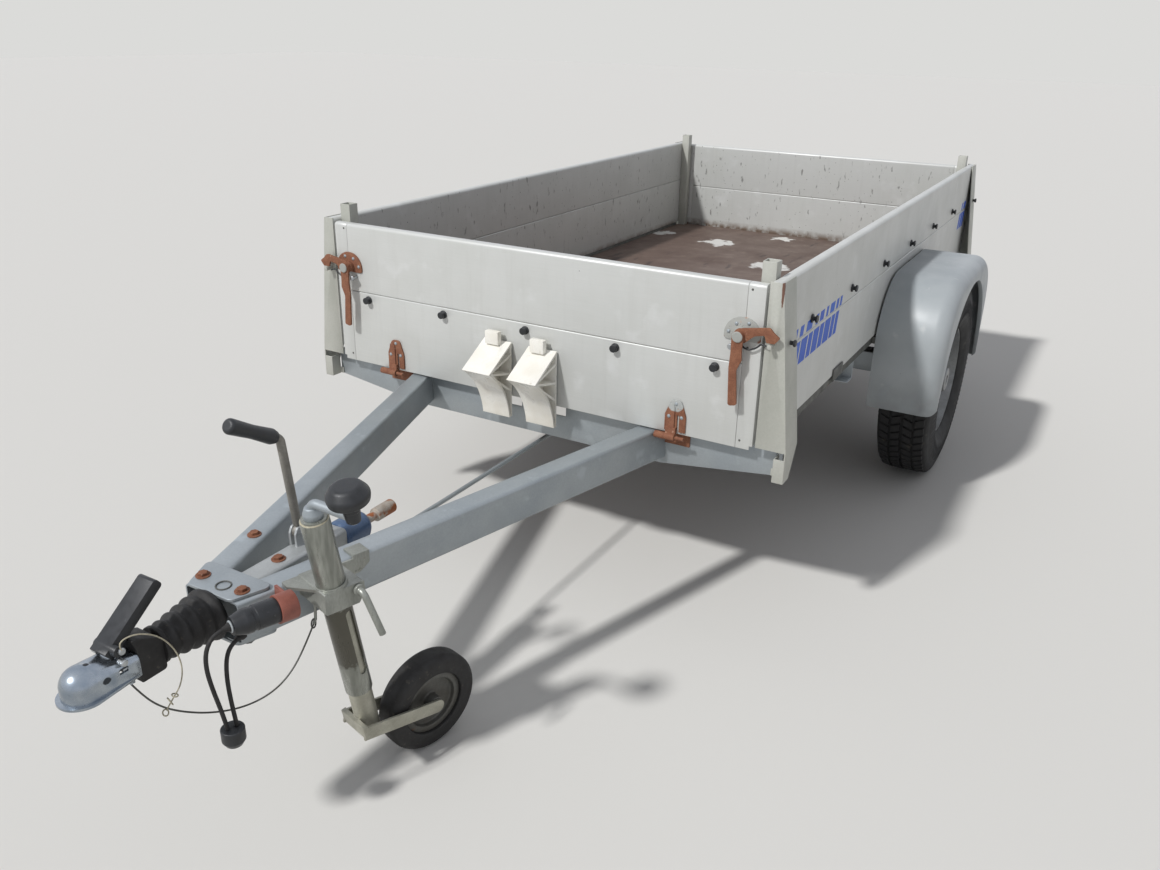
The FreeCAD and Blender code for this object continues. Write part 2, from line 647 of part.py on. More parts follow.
rear_channel = turned_to_rear("rear_channel", channel("rear_channel_shape", stake_front))
bearer_fronts = [size.axle_reach - size.bearer_ahead, size.axle_reach + size.bearer_behind]
bearers = [channel(f"bearer{index}", place) for index, place in enumerate(bearer_fronts)]
subpart("cross_members", solid("front_member", front_member_shape()), rear_channel, *bearers)
rail_front = stake_front + size.channel_depth
rail_x = half_box - size.rail_inset
rails = []
rail_stops = [rail_front]
for front in bearer_fronts:
    rail_stops += [front, front + size.channel_depth]
rail_stops.append(rear_face - rail_front)
for side in (-1, 1):
    for index in (0, 2, 4):
        rails.append(box(f"rail{index}_{side + 1}", (side * rail_x - size.rail_width / 2, side * rail_x + size.rail_width / 2),
                         (rail_stops[index], rail_stops[index + 1]), (rail_bottom, rail_top),
                         Length="sizes.rail_width", Height="sizes.rail_height"))
subpart("side_rails", *rails)


# Drawbar: two rounded tubes that meet at the coupling, and the plates that join them
tube_slope_x = (size.tube_rear_spread - size.tube_front_spread) / size.tube_front_reach
tube_rise = (size.tube_rear_top - size.tube_front_top) / size.tube_front_reach
tube_half = size.tube_width / 2 * math.hypot(1, tube_slope_x)


def tube_side_at(y):
    """Outer side of the right tube."""
    return size.tube_rear_spread + tube_slope_x * y + tube_half


def tube_top_at(y):
    return size.tube_rear_top + tube_rise * y


def tube_solid(inset, start, end):
    """One drawbar tube between two places along Y, shrunk by inset on all four sides."""
    outer = tube_side_at(start) - inset
    inner = outer - 2 * (tube_half - inset)
    top = tube_top_at(start) - inset
    bottom = top - size.tube_height + 2 * inset
    radius = size.tube_round - inset
    corners = [(inner, bottom, radius), (outer, bottom, radius), (outer, top, radius), (inner, top, radius)]
    section = outline_wire(corners, Vector(0, start, 0), XZ_TURN)
    return Part.Face(section).extrude(Vector(tube_slope_x, 1, tube_rise) * (end - start))


def tube_shape():
    start = front_bolts - size.tube_overhang
    outer = tube_solid(0, start, stake_front)
    inner = tube_solid(size.tube_wall, start - 1, stake_front + 1)
    mitre = Part.makeBox(size.housing_width + 2 * size.fit_gap, size.tube_front_reach, size.tube_front_top,
                         Vector(-size.housing_width / 2 - size.fit_gap, start - 1, size.tube_height))
    return outer.cut(inner).cut(mitre)


tube_right = subpart("drawbar_tube_right", solid("tube_shape", tube_shape()))
mirrored_subpart("drawbar_tube_left", tube_right)
plate_front = front_bolts - size.tube_overhang - size.plate_overhang
plate_outline = [
    (-size.plate_front_width / 2, plate_front, 14), (size.plate_front_width / 2, plate_front, 14),
    (size.plate_rear_width / 2, plate_front + size.plate_length, 10),
    (-size.plate_rear_width / 2, plate_front + size.plate_length, 10),
]


def on_tubes(item, offset):
    """Lay an item on the slope of the tubes; offset is measured from their top."""
    tilt = Rotation(ALONG_X, math.degrees(math.atan(tube_rise)))
    origin = Vector(0, front_bolts, size.tube_front_top) + tilt.multVec(Vector(0, -front_bolts, offset))
    item.Placement = Placement(origin, tilt).multiply(item.Placement)
    return item


top_plate = on_tubes(pad("top_plate", "XY_Plane", [plate_outline], "sizes.plate_thickness"), size.fit_gap)
bottom_plate = on_tubes(pad("bottom_plate", "XY_Plane", [plate_outline], "sizes.plate_thickness"),
                        -size.tube_height - size.plate_thickness - size.fit_gap)
subpart("drawbar_plates", top_plate, bottom_plate)


# Overrun device: housing, bellows, the cover over the shaft, coupling head and its handle
bellows_rear = front_bolts - size.bellows_ahead
bellows_front = bellows_rear - size.bellows_length
housing_rear = front_bolts + size.housing_behind
housing_top = shaft_height + size.housing_height / 2
housing_bottom = shaft_height - size.housing_height / 2
half_housing = size.housing_width / 2
housing_corners = [(-half_housing, housing_bottom, size.housing_round), (half_housing, housing_bottom, size.housing_round),
                   (half_housing, housing_top, size.housing_round), (-half_housing, housing_top, size.housing_round)]
housing = pad("housing", "XZ_Plane", [housing_corners], "sizes.bellows_ahead + sizes.housing_behind", at=(0, housing_rear, 0))
lever_x = -size.lever_offset
pivot_y = front_bolts + size.lever_behind
pivot_z = housing_top + size.lever_pivot_rise
cheek_sheet, cheek_half, eye_half = 5, 15, 4


def cheeks_shape():
    """Two cheeks on the housing with the handbrake's pivot pin between them."""
    pieces = []
    for start in (lever_x - eye_half - size.fit_gap - cheek_sheet, lever_x + eye_half + size.fit_gap):
        corners = [(-cheek_half, 0), (cheek_half, 0), (cheek_half, size.lever_pivot_rise, 6),
                   (cheek_half - 6, size.lever_pivot_rise + 12, 6), (6 - cheek_half, size.lever_pivot_rise + 12, 6),
                   (-cheek_half, size.lever_pivot_rise, 6)]
        cheek = Part.Face(outline_wire(corners)).extrude(UP * cheek_sheet)
        cheek.Placement = Placement(Vector(start, pivot_y, housing_top), YZ_TURN)
        pieces.append(cheek)
    reach = eye_half + size.fit_gap + cheek_sheet + 3
    pin = Part.makeCylinder(size.lever_pin_radius, 2 * reach, Vector(lever_x - reach, pivot_y, pivot_z), ALONG_X)
    return pieces[0].fuse([pieces[1], pin])


subpart("overrun_housing", combine("Fuse", "housing_and_cheeks", housing, solid("cheeks", cheeks_shape())))


def bellows_outline():
    """Folds that shrink evenly from the housing to the collar at the front."""
    folds = int(size.bellows_folds)
    fold_length = size.bellows_length - size.bellows_collar
    pitch = fold_length / folds
    depth, crest_round, valley_round = 8, 6, 3
    corners = [(0, 0), (size.bellows_radius - depth, 0)]
    for fold in range(folds):
        crest = size.bellows_radius - (size.bellows_radius - size.bellows_front_radius) * (fold + 0.5) / folds
        corners.append((crest, pitch * (fold + 0.5), crest_round))
        corners.append((crest - depth, pitch * (fold + 1), valley_round))
    collar = size.bellows_front_radius
    corners += [(collar, fold_length + 3, 2), (collar, size.bellows_length, 2), (0, size.bellows_length)]
    return corners


bellows = revolution("bellows_body", [bellows_outline()], at=(0, bellows_rear - size.fit_gap, shaft_height),
                     axis=ALONG_X, angle=90)
head_rear = ball_y + size.coupling_body
cover_front = head_rear + 2 * size.fit_gap
cover_rear = bellows_front - 2 * size.fit_gap
cover_nose, cover_top, cover_bottom = 6.6, 43, -31
cover_corners = [
    (cover_front - cover_nose, shaft_height + cover_top + 7, 3), (cover_rear - 6, shaft_height + cover_top - 14, 6),
    (cover_rear, shaft_height + cover_top - 24, 6), (cover_rear, shaft_height + cover_bottom, 6),
    (cover_front, shaft_height + cover_bottom, 4), (cover_front, shaft_height + cover_top - 16),
]
cover = pad("shaft_cover", "YZ_Plane", [cover_corners], "sizes.cover_width", at=(-size.cover_width / 2, 0, 0))
cover_bore = cylinder("cover_bore", "sizes.shaft_radius + sizes.fit_gap", "sizes.bellows_length",
                      (0, cover_front - 1, shaft_height), ALONG_X, -90)
subpart("shaft_bellows", bellows, cut("bored_cover", cover, cover_bore))

rim_bottom = size.coupling_height - size.coupling_skirt


def head_section(y, inset, bottom):
    """The head across the trailer: half round at the ball, flatter with small corners at its rear."""
    share = (y - ball_y) / size.coupling_body
    half = head_radius - inset
    top = size.coupling_height + head_radius - share * size.coupling_slope - inset
    flat = 0.1
    radius = (1 - share) * (head_radius - flat) + share * size.coupling_round - inset
    corners = [(-half, bottom), (half, bottom), (half, top, radius), (-half, top, radius)]
    return outline_wire(corners, Vector(0, y, 0), XZ_TURN)


def head_shape():
    """A pressed head: domed over the socket, an open shell behind it, with a flanged rim."""
    centre = Vector(0, ball_y, size.coupling_height)
    wall = size.coupling_wall
    dome = Part.makeSphere(head_radius, centre)
    skirt = Part.makeCylinder(head_radius, size.coupling_skirt, centre, DOWN)
    body = Part.makeLoft([head_section(ball_y, 0, rim_bottom), head_section(head_rear, 0, rim_bottom)], True, True)
    flange_corners = [Vector(-size.coupling_rim, ball_y, rim_bottom), Vector(0, ball_y - size.coupling_rim, rim_bottom),
                      Vector(size.coupling_rim, ball_y, rim_bottom)]
    rear_corners = [Vector(head_radius, head_rear, rim_bottom), Vector(-head_radius, head_rear, rim_bottom)]
    flange_edges = [Part.Arc(*flange_corners).toShape()]
    for start, end in [(flange_corners[2], rear_corners[0]), (rear_corners[0], rear_corners[1]), (rear_corners[1], flange_corners[0])]:
        flange_edges.append(Part.LineSegment(start, end).toShape())
    flange = Part.Face(Part.Wire(flange_edges)).extrude(UP * size.coupling_rim_sheet)
    cavity = Part.makeLoft([head_section(ball_y + head_radius, wall, rim_bottom - wall),
                            head_section(head_rear - wall, wall, rim_bottom - wall)], True, True)
    shaft = Part.makeCylinder(size.shaft_radius, bellows_front - 2 * size.fit_gap - head_rear + wall,
                              Vector(0, head_rear - wall, shaft_height), ALONG_Y)
    socket = Part.makeSphere(size.ball_socket_radius, centre)
    mouth = Part.makeCylinder(size.ball_socket_radius, 2 * size.coupling_skirt, centre, DOWN)
    slot_length, slot_height, slot_behind = 14, 6, 49
    slot = Part.makeBox(3 * head_radius, slot_length, slot_height,
                        Vector(-1.5 * head_radius, ball_y + slot_behind - slot_length / 2, size.coupling_height))
    tab = Part.makeBox(head_radius - 17, 8, 8, Vector(17, ball_y + 55, rim_bottom - 5))
    return dome.fuse([skirt, body, flange]).cut(cavity).fuse([shaft, tab]).cut(socket.fuse([mouth, slot])).removeSplitter()


subpart("coupling_head", solid("head_shape", head_shape()))
handle_place = (ball_y + size.handle_behind, size.coupling_height + size.handle_rise)
handle_tip = size.handle_length
handle_corners = [(0, -size.handle_depth, 2), (handle_tip, -size.handle_depth, 6), (handle_tip, 0, 6), (0, 0, 2)]
handle_room = [(-1, -size.handle_depth - 1), (handle_tip - size.handle_wall, -size.handle_depth - 1),
               (handle_tip - size.handle_wall, -size.handle_wall), (-1, -size.handle_wall)]
handle_outer = pad("handle_outer", "YZ_Plane", [handle_corners], "sizes.handle_width",
                   at=(-size.handle_width / 2, *handle_place), axis=ALONG_X, angle=size.handle_slope)
handle_inner = pad("handle_inner", "YZ_Plane", [handle_room], "sizes.handle_width - 2 * sizes.handle_wall",
                   at=(size.handle_wall - size.handle_width / 2, *handle_place), axis=ALONG_X, angle=size.handle_slope)
handle_pivot = cylinder("handle_pivot", "sizes.handle_pivot_radius",
                        "sizes.handle_width / 2 + sizes.ball_socket_radius + sizes.coupling_wall",
                        (-size.handle_width / 2 - 1, handle_place[0] + 16, handle_place[1] + 2), ALONG_Y, 90)
subpart("coupling_handle", combine("Fuse", "handle_and_pivot", cut("handle_channel", handle_outer, handle_inner), handle_pivot))

damper_front = housing_rear + size.fit_gap
damper_outline = [(0, 0), (size.damper_radius - 3, 0), (size.damper_radius, 8, 3), (size.damper_radius, size.damper_length - 8, 3),
                  (size.damper_radius - 6, size.damper_length), (0, size.damper_length)]
damper = revolution("damper_body", [damper_outline], at=(0, damper_front, shaft_height), axis=ALONG_X, angle=-90)
subpart("brake_damper", damper)
strut_front = damper_front + size.damper_length + size.fit_gap
strut_outline = [(0, 0), (9, 0), (9, size.strut_length * 0.4), (14, size.strut_length * 0.4 + 2, 3), (14, size.strut_length, 3),
                 (0, size.strut_length)]
subpart("handbrake_strut", revolution("strut_body", [strut_outline], at=(0, strut_front, shaft_height), axis=ALONG_X, angle=-90))

lever_bend = Vector(lever_x, pivot_y - size.lever_bend_ahead, size.lever_bend_height)
grip_way = Vector(0, -math.cos(math.radians(size.grip_slope)), math.sin(math.radians(size.grip_slope)))
lever_end = lever_bend + grip_way * 12
eye_radius = 12


def lever_shape():
    pivot = Vector(lever_x, pivot_y, pivot_z)
    rod = bent_rod([pivot + UP * (eye_radius + 2), lever_bend, lever_end], [16], size.lever_radius)
    neck = Part.makeBox(2 * eye_half, eye_radius, eye_radius + 6, pivot - Vector(eye_half, eye_radius / 2, 0))
    eye = Part.makeCylinder(eye_radius, 2 * eye_half, pivot - ALONG_X * eye_half, ALONG_X)
    bore = Part.makeCylinder(size.lever_pin_radius + size.pin_gap, 3 * eye_half, pivot - ALONG_X * 1.5 * eye_half, ALONG_X)
    return rod.fuse([neck, eye]).cut(bore).removeSplitter()


subpart("handbrake_lever", solid("lever_rod", lever_shape()))
grip_outline = [(0, 0), (size.grip_radius - 3, 0), (size.grip_radius, 10, 4), (size.grip_radius - 2, size.grip_length / 2, 60),
                (size.grip_radius, size.grip_length, 7), (0, size.grip_length)]
grip = revolution("grip_body", [grip_outline])
grip_start = lever_end + grip_way * size.fit_gap
grip.Placement = Placement(grip_start, Rotation(UP, grip_way))
subpart("handbrake_grip", grip)

arm_drop = math.radians(size.axle_arm_drop)
beam_y = size.axle_reach - size.axle_arm * math.cos(arm_drop)
beam_height = axle_height + size.axle_arm * math.sin(arm_drop)
beam_half = size.axle_beam_size / 2
beam_front = beam_y - beam_half
rod_front = housing_rear - size.rod_hanger_length
rod = doc.addObject("Part::Cylinder", "rod_bar")
bind(rod, Radius="sizes.rod_radius")
rod.Height = beam_front - size.equaliser_gap - rod_front
put(rod, (0, rod_front, size.rod_height), ALONG_X, -90)
rod_half = 2 * size.rod_radius
equaliser_rear = beam_front - size.equaliser_gap
hanger = box("rod_hanger", (-rod_half, rod_half), (rod_front, rod_front + size.rod_hanger_length / 2),
             (size.rod_height - rod_half, housing_bottom - size.fit_gap))
equaliser = box("equaliser", (-size.equaliser_half, size.equaliser_half), (equaliser_rear - rod_half, equaliser_rear),
                (size.rod_height - rod_half, size.rod_height + rod_half), Length="2 * sizes.equaliser_half")
links = []
for side in (-1, 1):
    link_x = side * (size.equaliser_half - size.rod_radius)
    links.append(box(f"brake_link{side + 1}", (link_x - size.rod_radius / 2, link_x + size.rod_radius / 2),
                     (equaliser_rear - 1, beam_front - size.fit_gap),
                     (size.rod_height + size.rod_radius / 2, size.rod_height + rod_half)))
subpart("brake_rod", combine("Fuse", "rod_and_links", rod, hanger, equaliser, *links))


# Axle: square beam, trailing arms, stubs and brake back plates
beam_end = wheel_x - size.tyre_width / 2 - size.axle_arm_gap
beam = box("beam_tube", (-beam_end, beam_end), (beam_y - beam_half, beam_y + beam_half),
           (beam_height - beam_half, beam_height + beam_half), Width="sizes.axle_beam_size", Height="sizes.axle_beam_size")
pads = []
for side in (-1, 1):
    pads.append(box(f"axle_pad{side + 1}", (side * rail_x - beam_half, side * rail_x + beam_half),
                    (beam_y - size.axle_beam_size, beam_y + size.axle_beam_size), (beam_height + beam_half, rail_bottom)))
subpart("axle_beam", combine("Fuse", "beam_and_pads", beam, *pads))
arm_thickness = 30


def arm_shape():
    start = Vector(beam_end + size.fit_gap, beam_y, beam_height)
    stub = Vector(beam_end + size.fit_gap, size.axle_reach, axle_height)
    bosses = Part.makeCylinder(beam_half + 4, arm_thickness, start, ALONG_X)
    bosses = bosses.fuse(Part.makeCylinder(2 * size.stub_radius, arm_thickness, stub, ALONG_X))
    way = (stub - start).normalize()
    across = way.cross(ALONG_X).normalize()
    corners = [start + across * beam_half, stub + across * 26, stub - across * 26, start - across * beam_half]
    web = Part.Face(Part.makePolygon(corners + corners[:1])).extrude(ALONG_X * arm_thickness)
    shaft = Part.makeCylinder(size.stub_radius, wheel_x + 10 - stub.x, stub, ALONG_X)
    plate_face = Part.makeCylinder(size.drum_radius + 4, 4, stub + ALONG_X * (arm_thickness + 1), ALONG_X)
    collar = Part.makeCylinder(size.stub_radius + 9, 1, stub + ALONG_X * arm_thickness, ALONG_X)
    return bosses.fuse([web, shaft, plate_face, collar]).removeSplitter()


arm = solid("arm_shape", arm_shape())
subpart("axle_arms", arm, mirrored("left_arm", arm))
back_plate_end = beam_end + size.fit_gap + arm_thickness + 5


# Road wheels: tyre, and rim with its drum, turned about the stub
def tyre_outline():
    half = size.tyre_width / 2
    bead = size.rim_radius - 8
    return [(bead, -half + 22, 6), (bead, half - 22, 6), (bead + 30, half - 4, 20), (bead + 62, half, 30),
            (size.tyre_radius - 22, half - 8, 26), (size.tyre_radius, half - 24, 14), (size.tyre_radius, -half + 24, 14),
            (size.tyre_radius - 22, -half + 8, 26), (bead + 62, -half, 30), (bead + 30, -half + 4, 20)]


def rim_outline():
    half = size.rim_width / 2
    wall = size.rim_sheet
    bead = size.rim_radius - 8 - size.fit_gap
    inner = bead - wall
    drum_inner = back_plate_end + 2 - wheel_x
    bore = size.stub_radius + size.pin_gap
    return [(bead, -half + 4), (bead, half - 4), (inner, half - 4), (inner, 22), (120, 30, 20), (size.hub_radius, 14, 8),
            (size.hub_radius - 20, 34, 4), (size.hub_radius - 26, 62, 4), (bore, 62),
            (bore, drum_inner), (size.drum_radius, drum_inner, 4), (size.drum_radius, drum_inner + 30, 6),
            (size.hub_radius + 20, 2, 6), (118, 22, 16), (inner, 12), (inner, -half + 4)]


tyre = revolution("tyre_body", [tyre_outline()], at=(wheel_x, size.axle_reach, axle_height), axis=ALONG_Y, angle=90)
rim = revolution("rim_body", [rim_outline()], at=(wheel_x, size.axle_reach, axle_height), axis=ALONG_Y, angle=90)
for name, body in [("tyre", tyre), ("rim", rim)]:
    right = subpart(name + "_right", body)
    mirrored_subpart(name + "_left", right)


# Mudguards: a bent shell with a rounded outer edge, a round wheel opening with a turned-in lip, and an inner flange
guard_inner = half_box + size.guard_gap
guard_outer = guard_inner + size.guard_width
guard_below = 60


def guard_profile(inset, low):
    front = size.axle_reach - size.guard_front + inset
    rear = size.axle_reach + size.guard_rear - inset
    top = size.guard_top - inset
    bend = size.guard_bend - inset
    return Part.Face(outline_wire([(front, low), (front, top, bend), (rear, top, bend), (rear, low)]))


def guard_solid(inset, inner, outer, low):
    body = guard_profile(inset, low).extrude(Vector(0, 0, outer - inner))
    body.Placement = Placement(Vector(inner, 0, 0), YZ_TURN)
    outer_edges = []
    for edge in body.Edges:
        on_side = all(abs(v.X - outer) < 1e-3 for v in edge.Vertexes)
        on_bottom = all(abs(v.Z - low) < 1e-3 for v in edge.Vertexes)
        if on_side and not on_bottom:
            outer_edges.append(edge)
    return body.makeFillet(size.guard_edge - inset, outer_edges)


def wheel_opening(radius, start, end):
    """A round opening about the axle that runs straight down below it."""
    centre = Vector(start, size.axle_reach, axle_height)
    depth = axle_height - size.guard_bottom + guard_below
    low = Part.makeBox(end - start, 2 * radius, depth, centre - Vector(0, radius, depth))
    return Part.makeCylinder(radius, end - start, centre, ALONG_X).fuse(low).removeSplitter()


def guard_shape():
    wall = size.guard_sheet
    outer = guard_solid(0, guard_inner, guard_outer, size.guard_bottom)
    room = guard_solid(wall, guard_inner + wall, guard_outer - wall, size.guard_bottom - guard_below)
    flange_window = guard_profile(size.guard_flange, size.guard_bottom - guard_below).extrude(UP * (size.guard_edge + wall))
    flange_window.Placement = Placement(Vector(guard_inner - wall, 0, 0), YZ_TURN)
    opening = wheel_opening(size.guard_opening, guard_outer - size.guard_edge, guard_outer + wall)
    lip_start = guard_outer - wall - size.guard_lip
    lip = wheel_opening(size.guard_opening + wall, lip_start, guard_outer - 1).cut(
        wheel_opening(size.guard_opening, lip_start - 1, guard_outer + 1)).common(outer)
    trim_top = size.guard_top + guard_below
    trim_corners = [(guard_inner, size.guard_bottom, 8), (guard_outer, size.guard_bottom, size.guard_corner),
                    (guard_outer, trim_top), (guard_inner, trim_top)]
    trim_start = Vector(0, size.axle_reach - size.guard_front - 1, 0)
    trim = Part.Face(outline_wire(trim_corners, trim_start, XZ_TURN)).extrude(ALONG_Y * (size.guard_front + size.guard_rear + 2))
    return outer.cut(room.fuse([opening, flange_window])).fuse(lip).common(trim).removeSplitter()


guard_right = subpart("mudguard_right", solid("guard_shape", guard_shape()))
mirrored_subpart("mudguard_left", guard_right)
guard_blocks = []
block_outer = guard_inner - size.fit_gap
block_front = size.axle_reach - size.guard_front + size.guard_sheet
block_rear = size.axle_reach + size.guard_rear - size.guard_sheet - size.guard_block_length
block_top = size.guard_top - size.guard_sheet
low_z = (size.board_bottom + size.guard_sheet, side_bottom - size.guard_sheet)
high_z = (block_top - size.guard_block_length, block_top)
for index, (start, inner, z_range) in enumerate([
    (block_front, sill_outer, low_z), (size.axle_reach - size.guard_block_length / 2, half_box, high_z), (block_rear, sill_outer, low_z),
]):
    block = box(f"guard_block{index}", (inner + size.fit_gap, block_outer), (start, start + size.guard_block_length), z_range,
                Width="sizes.guard_block_length")
    guard_blocks.extend([block, mirrored(f"left_guard_block{index}", block)])
side_plates = []
plate_front_side = box("side_plate", (half_box + size.fit_gap, half_box + size.fit_gap + size.hinge_sheet),
                       (size.side_plate_front, size.side_plate_front + size.side_plate_length),
                       (side_bottom - size.side_plate_below, side_bottom + size.side_plate_above), Width="sizes.side_plate_length")
for index, item in enumerate([plate_front_side, turned_to_rear("rear_side_plate", plate_front_side)]):
    side_plates.extend([item, mirrored(f"mirrored_side_plate{index}", item)])


# Jockey wheel: everything is laid out along the leaning tube, then placed at the clamp
jockey_y = front_bolts + size.jockey_behind
jockey_axis_out = size.jockey_standoff + size.jockey_radius
jockey_origin = Vector(tube_side_at(jockey_y) + jockey_axis_out, jockey_y, size.jockey_height)
lean = Rotation(ALONG_X, size.jockey_lean)
bore = size.jockey_radius - size.jockey_wall
cap_bottom = size.jockey_above - size.jockey_cap
ring_top = size.jockey_above + size.jockey_cap


def along_tube(shape):
    shape.Placement = Placement(jockey_origin, lean).multiply(shape.Placement)
    return shape


def turned(corners):
    """A solid of revolution about Z; corners are radius, height and an optional rounding."""
    return Part.Face(outline_wire(corners, Vector(0, 0, 0), XZ_TURN)).revolve(Vector(0, 0, 0), UP, 360)


def screw_hole():
    return Part.makeCylinder(size.spindle_radius + size.pin_gap, 4 * size.jockey_above, Vector(0, 0, -2 * size.jockey_above))


def outer_tube_shape():
    """A tube with a bearing ring on its top and a slot down its right side."""
    length = size.jockey_above + size.jockey_below
    tube = Part.makeCylinder(size.jockey_radius, length, Vector(0, 0, -size.jockey_below))
    ring = Part.makeCylinder(bore, 2 * size.jockey_cap, Vector(0, 0, cap_bottom))
    room = Part.makeCylinder(bore, length, Vector(0, 0, cap_bottom - length))
    half_slot = size.jockey_slot_width / 2
    slot_top = -size.jockey_slot_top
    slot_bottom = slot_top - size.jockey_slot_length
    slot_corners = [(-half_slot, slot_bottom, half_slot), (half_slot, slot_bottom, half_slot),
                    (half_slot, slot_top, half_slot), (-half_slot, slot_top, half_slot)]
    slot = Part.Face(outline_wire(slot_corners)).extrude(UP * 2 * size.jockey_radius)
    slot.Placement = Placement(Vector(0, 0, 0), YZ_TURN)
    return tube.fuse(ring).cut(room.fuse([slot, screw_hole()])).removeSplitter()


subpart("jockey_outer_tube", solid("outer_tube", along_tube(outer_tube_shape())))
crank_top = size.jockey_above + size.crank_rise
crank_end = Vector(size.crank_reach, 0, crank_top - 4)
bell_top = crank_top - size.spindle_radius - 1
post_x = size.crank_reach - 4
knob_bottom = crank_end.z + 12


def crank_shape():
    start = Vector(0, 0, ring_top + size.fit_gap)
    bar = bent_rod([start, Vector(0, 0, crank_top), crank_end], [16], size.spindle_radius)
    bell = turned([(0, start.z), (16, start.z), (16, start.z + 8, 4), (11, bell_top, 3), (0, bell_top)])
    post = Part.makeCylinder(size.spindle_radius, 20, Vector(post_x, 0, knob_bottom - 20))
    screw = Part.makeCylinder(size.spindle_radius, ring_top + 1 + size.spindle_end, Vector(0, 0, -size.spindle_end))
    collar_height = size.jockey_cap - size.fit_gap
    collar = Part.makeCylinder(bore - size.jockey_wall, collar_height, Vector(0, 0, cap_bottom - size.jockey_cap))
    return bar.fuse([bell, post, screw, collar]).removeSplitter()


subpart("crank_handle", solid("crank_rod", along_tube(crank_shape())))
cap_radius = size.crank_knob
crank_knob = turned([(0, 0), (14, 0, 3), (15, 16, 4), (cap_radius - 3, 18, 4), (cap_radius, 32, 12), (cap_radius - 12, 48, 12), (0, 48)])
crank_knob.translate(Vector(post_x, 0, knob_bottom + size.fit_gap))
subpart("crank_knob", solid("crank_knob_shape", along_tube(crank_knob)))

leg_wall_top = size.jockey_leg_top - size.jockey_leg_cap
lean_angle = math.radians(size.jockey_lean)
swivel_angle = math.radians(size.jockey_swivel)
axle_tilt = math.asin(math.sin(swivel_angle) * math.sin(lean_angle))
half_wheel = size.jockey_wheel_width / 2
tread_half = half_wheel - size.jockey_tyre_round
hub_height = ((size.jockey_wheel_radius - size.jockey_tyre_round) * math.cos(axle_tilt)
              + tread_half * math.sin(axle_tilt) + size.jockey_tyre_round)
rise_of_trail = size.jockey_trail * math.cos(swivel_angle) * math.sin(lean_angle)
hub_drop = (size.jockey_height + rise_of_trail - hub_height) / math.cos(lean_angle) - size.jockey_leg_end
hub_local = Vector(0, size.jockey_trail, -hub_drop)
arm_x = half_wheel + size.fork_gap
fork_half = arm_x + size.fork_sheet
fork_top = Vector(0, -26, 22)


def fork_frame(shape):
    swivel = Rotation(UP, -size.jockey_swivel)
    shape.Placement = Placement(Vector(0, 0, -size.jockey_leg_end), swivel).multiply(shape.Placement)
    return shape


def fork_shape():
    pieces = []
    half = size.fork_height / 2
    way = (hub_local - fork_top).normalize()
    across = ALONG_X.cross(way) * half
    corners = [fork_top - across, hub_local - across, hub_local + across, fork_top + across]
    for start in (-fork_half, arm_x):
        face = Part.Face(Part.makePolygon([corner + ALONG_X * start for corner in corners + corners[:1]]))
        pieces.append(face.extrude(ALONG_X * size.fork_sheet))
        pieces.append(Part.makeCylinder(half, size.fork_sheet, hub_local + ALONG_X * start, ALONG_X))
    bridge = Part.makeBox(2 * fork_half, 9, size.fork_height, Vector(-fork_half, -28, 10))
    pin = Part.makeCylinder(size.jockey_pin_radius, 2 * fork_half, hub_local - ALONG_X * fork_half, ALONG_X)
    return pieces[0].fuse(pieces[1:] + [bridge, pin])


def leg_shape():
    radius = bore - size.pin_gap
    length = size.jockey_leg_end + size.jockey_leg_top
    leg = Part.makeCylinder(radius, length, Vector(0, 0, -size.jockey_leg_end))
    room = Part.makeCylinder(size.jockey_leg_radius - size.jockey_leg_wall, leg_wall_top + length, Vector(0, 0, -length))
    return leg.cut(room.fuse(screw_hole())).fuse(fork_frame(fork_shape())).removeSplitter()


subpart("jockey_leg_fork", solid("leg_and_fork", along_tube(leg_shape())))
nut_radius = size.jockey_leg_radius - size.jockey_leg_wall - 2 * size.fit_gap
nut_height = leg_wall_top - size.fit_gap - size.jockey_nut_bottom
nut = Part.makeCylinder(nut_radius, nut_height, Vector(0, 0, size.jockey_nut_bottom)).cut(screw_hole())
subpart("jockey_nut", solid("nut_ring", along_tube(nut)))


def wheel_frame(shape):
    shape.Placement = Placement(hub_local, Rotation(ALONG_Y, 90)).multiply(shape.Placement)
    return along_tube(fork_frame(shape))


wheel_radius = size.jockey_wheel_radius
wheel_round = size.jockey_tyre_round
wheel_bore = size.jockey_rim_radius
pin_bore = size.jockey_pin_radius + size.pin_gap
rubber = turned([(wheel_bore, -half_wheel, 3), (wheel_radius, -half_wheel, wheel_round),
                 (wheel_radius, half_wheel, wheel_round), (wheel_bore, half_wheel, 3)])
boss_half = half_wheel + 3
disc_outer = wheel_bore - size.fit_gap
disc = turned([(pin_bore, -boss_half), (16, -boss_half), (16, -8, 4), (50, -8, 4), (52, -18), (disc_outer, -18),
               (disc_outer, 18), (52, 18), (50, 8, 4), (16, 8, 4), (16, boss_half), (pin_bore, boss_half)])
subpart("jockey_tyre", solid("jockey_rubber", wheel_frame(rubber)))
subpart("jockey_rim", solid("jockey_disc", wheel_frame(disc)))

# Jockey clamp: a level block against the right drawbar tube, with its plate, ear and collar
clamp_turn = math.atan(tube_slope_x)
clamp_place = Placement(Vector(tube_side_at(jockey_y), jockey_y, size.jockey_height), Rotation(UP, -math.degrees(clamp_turn)))
axis_out = jockey_axis_out * math.cos(clamp_turn)
axis_along = jockey_axis_out * math.sin(clamp_turn)
block_side = axis_out + size.jockey_radius + size.clamp_sheet
block_start = axis_along - size.clamp_ahead
block_end = block_start + size.clamp_length
clamp_low = -size.clamp_drop
clamp_high = clamp_low + size.clamp_height


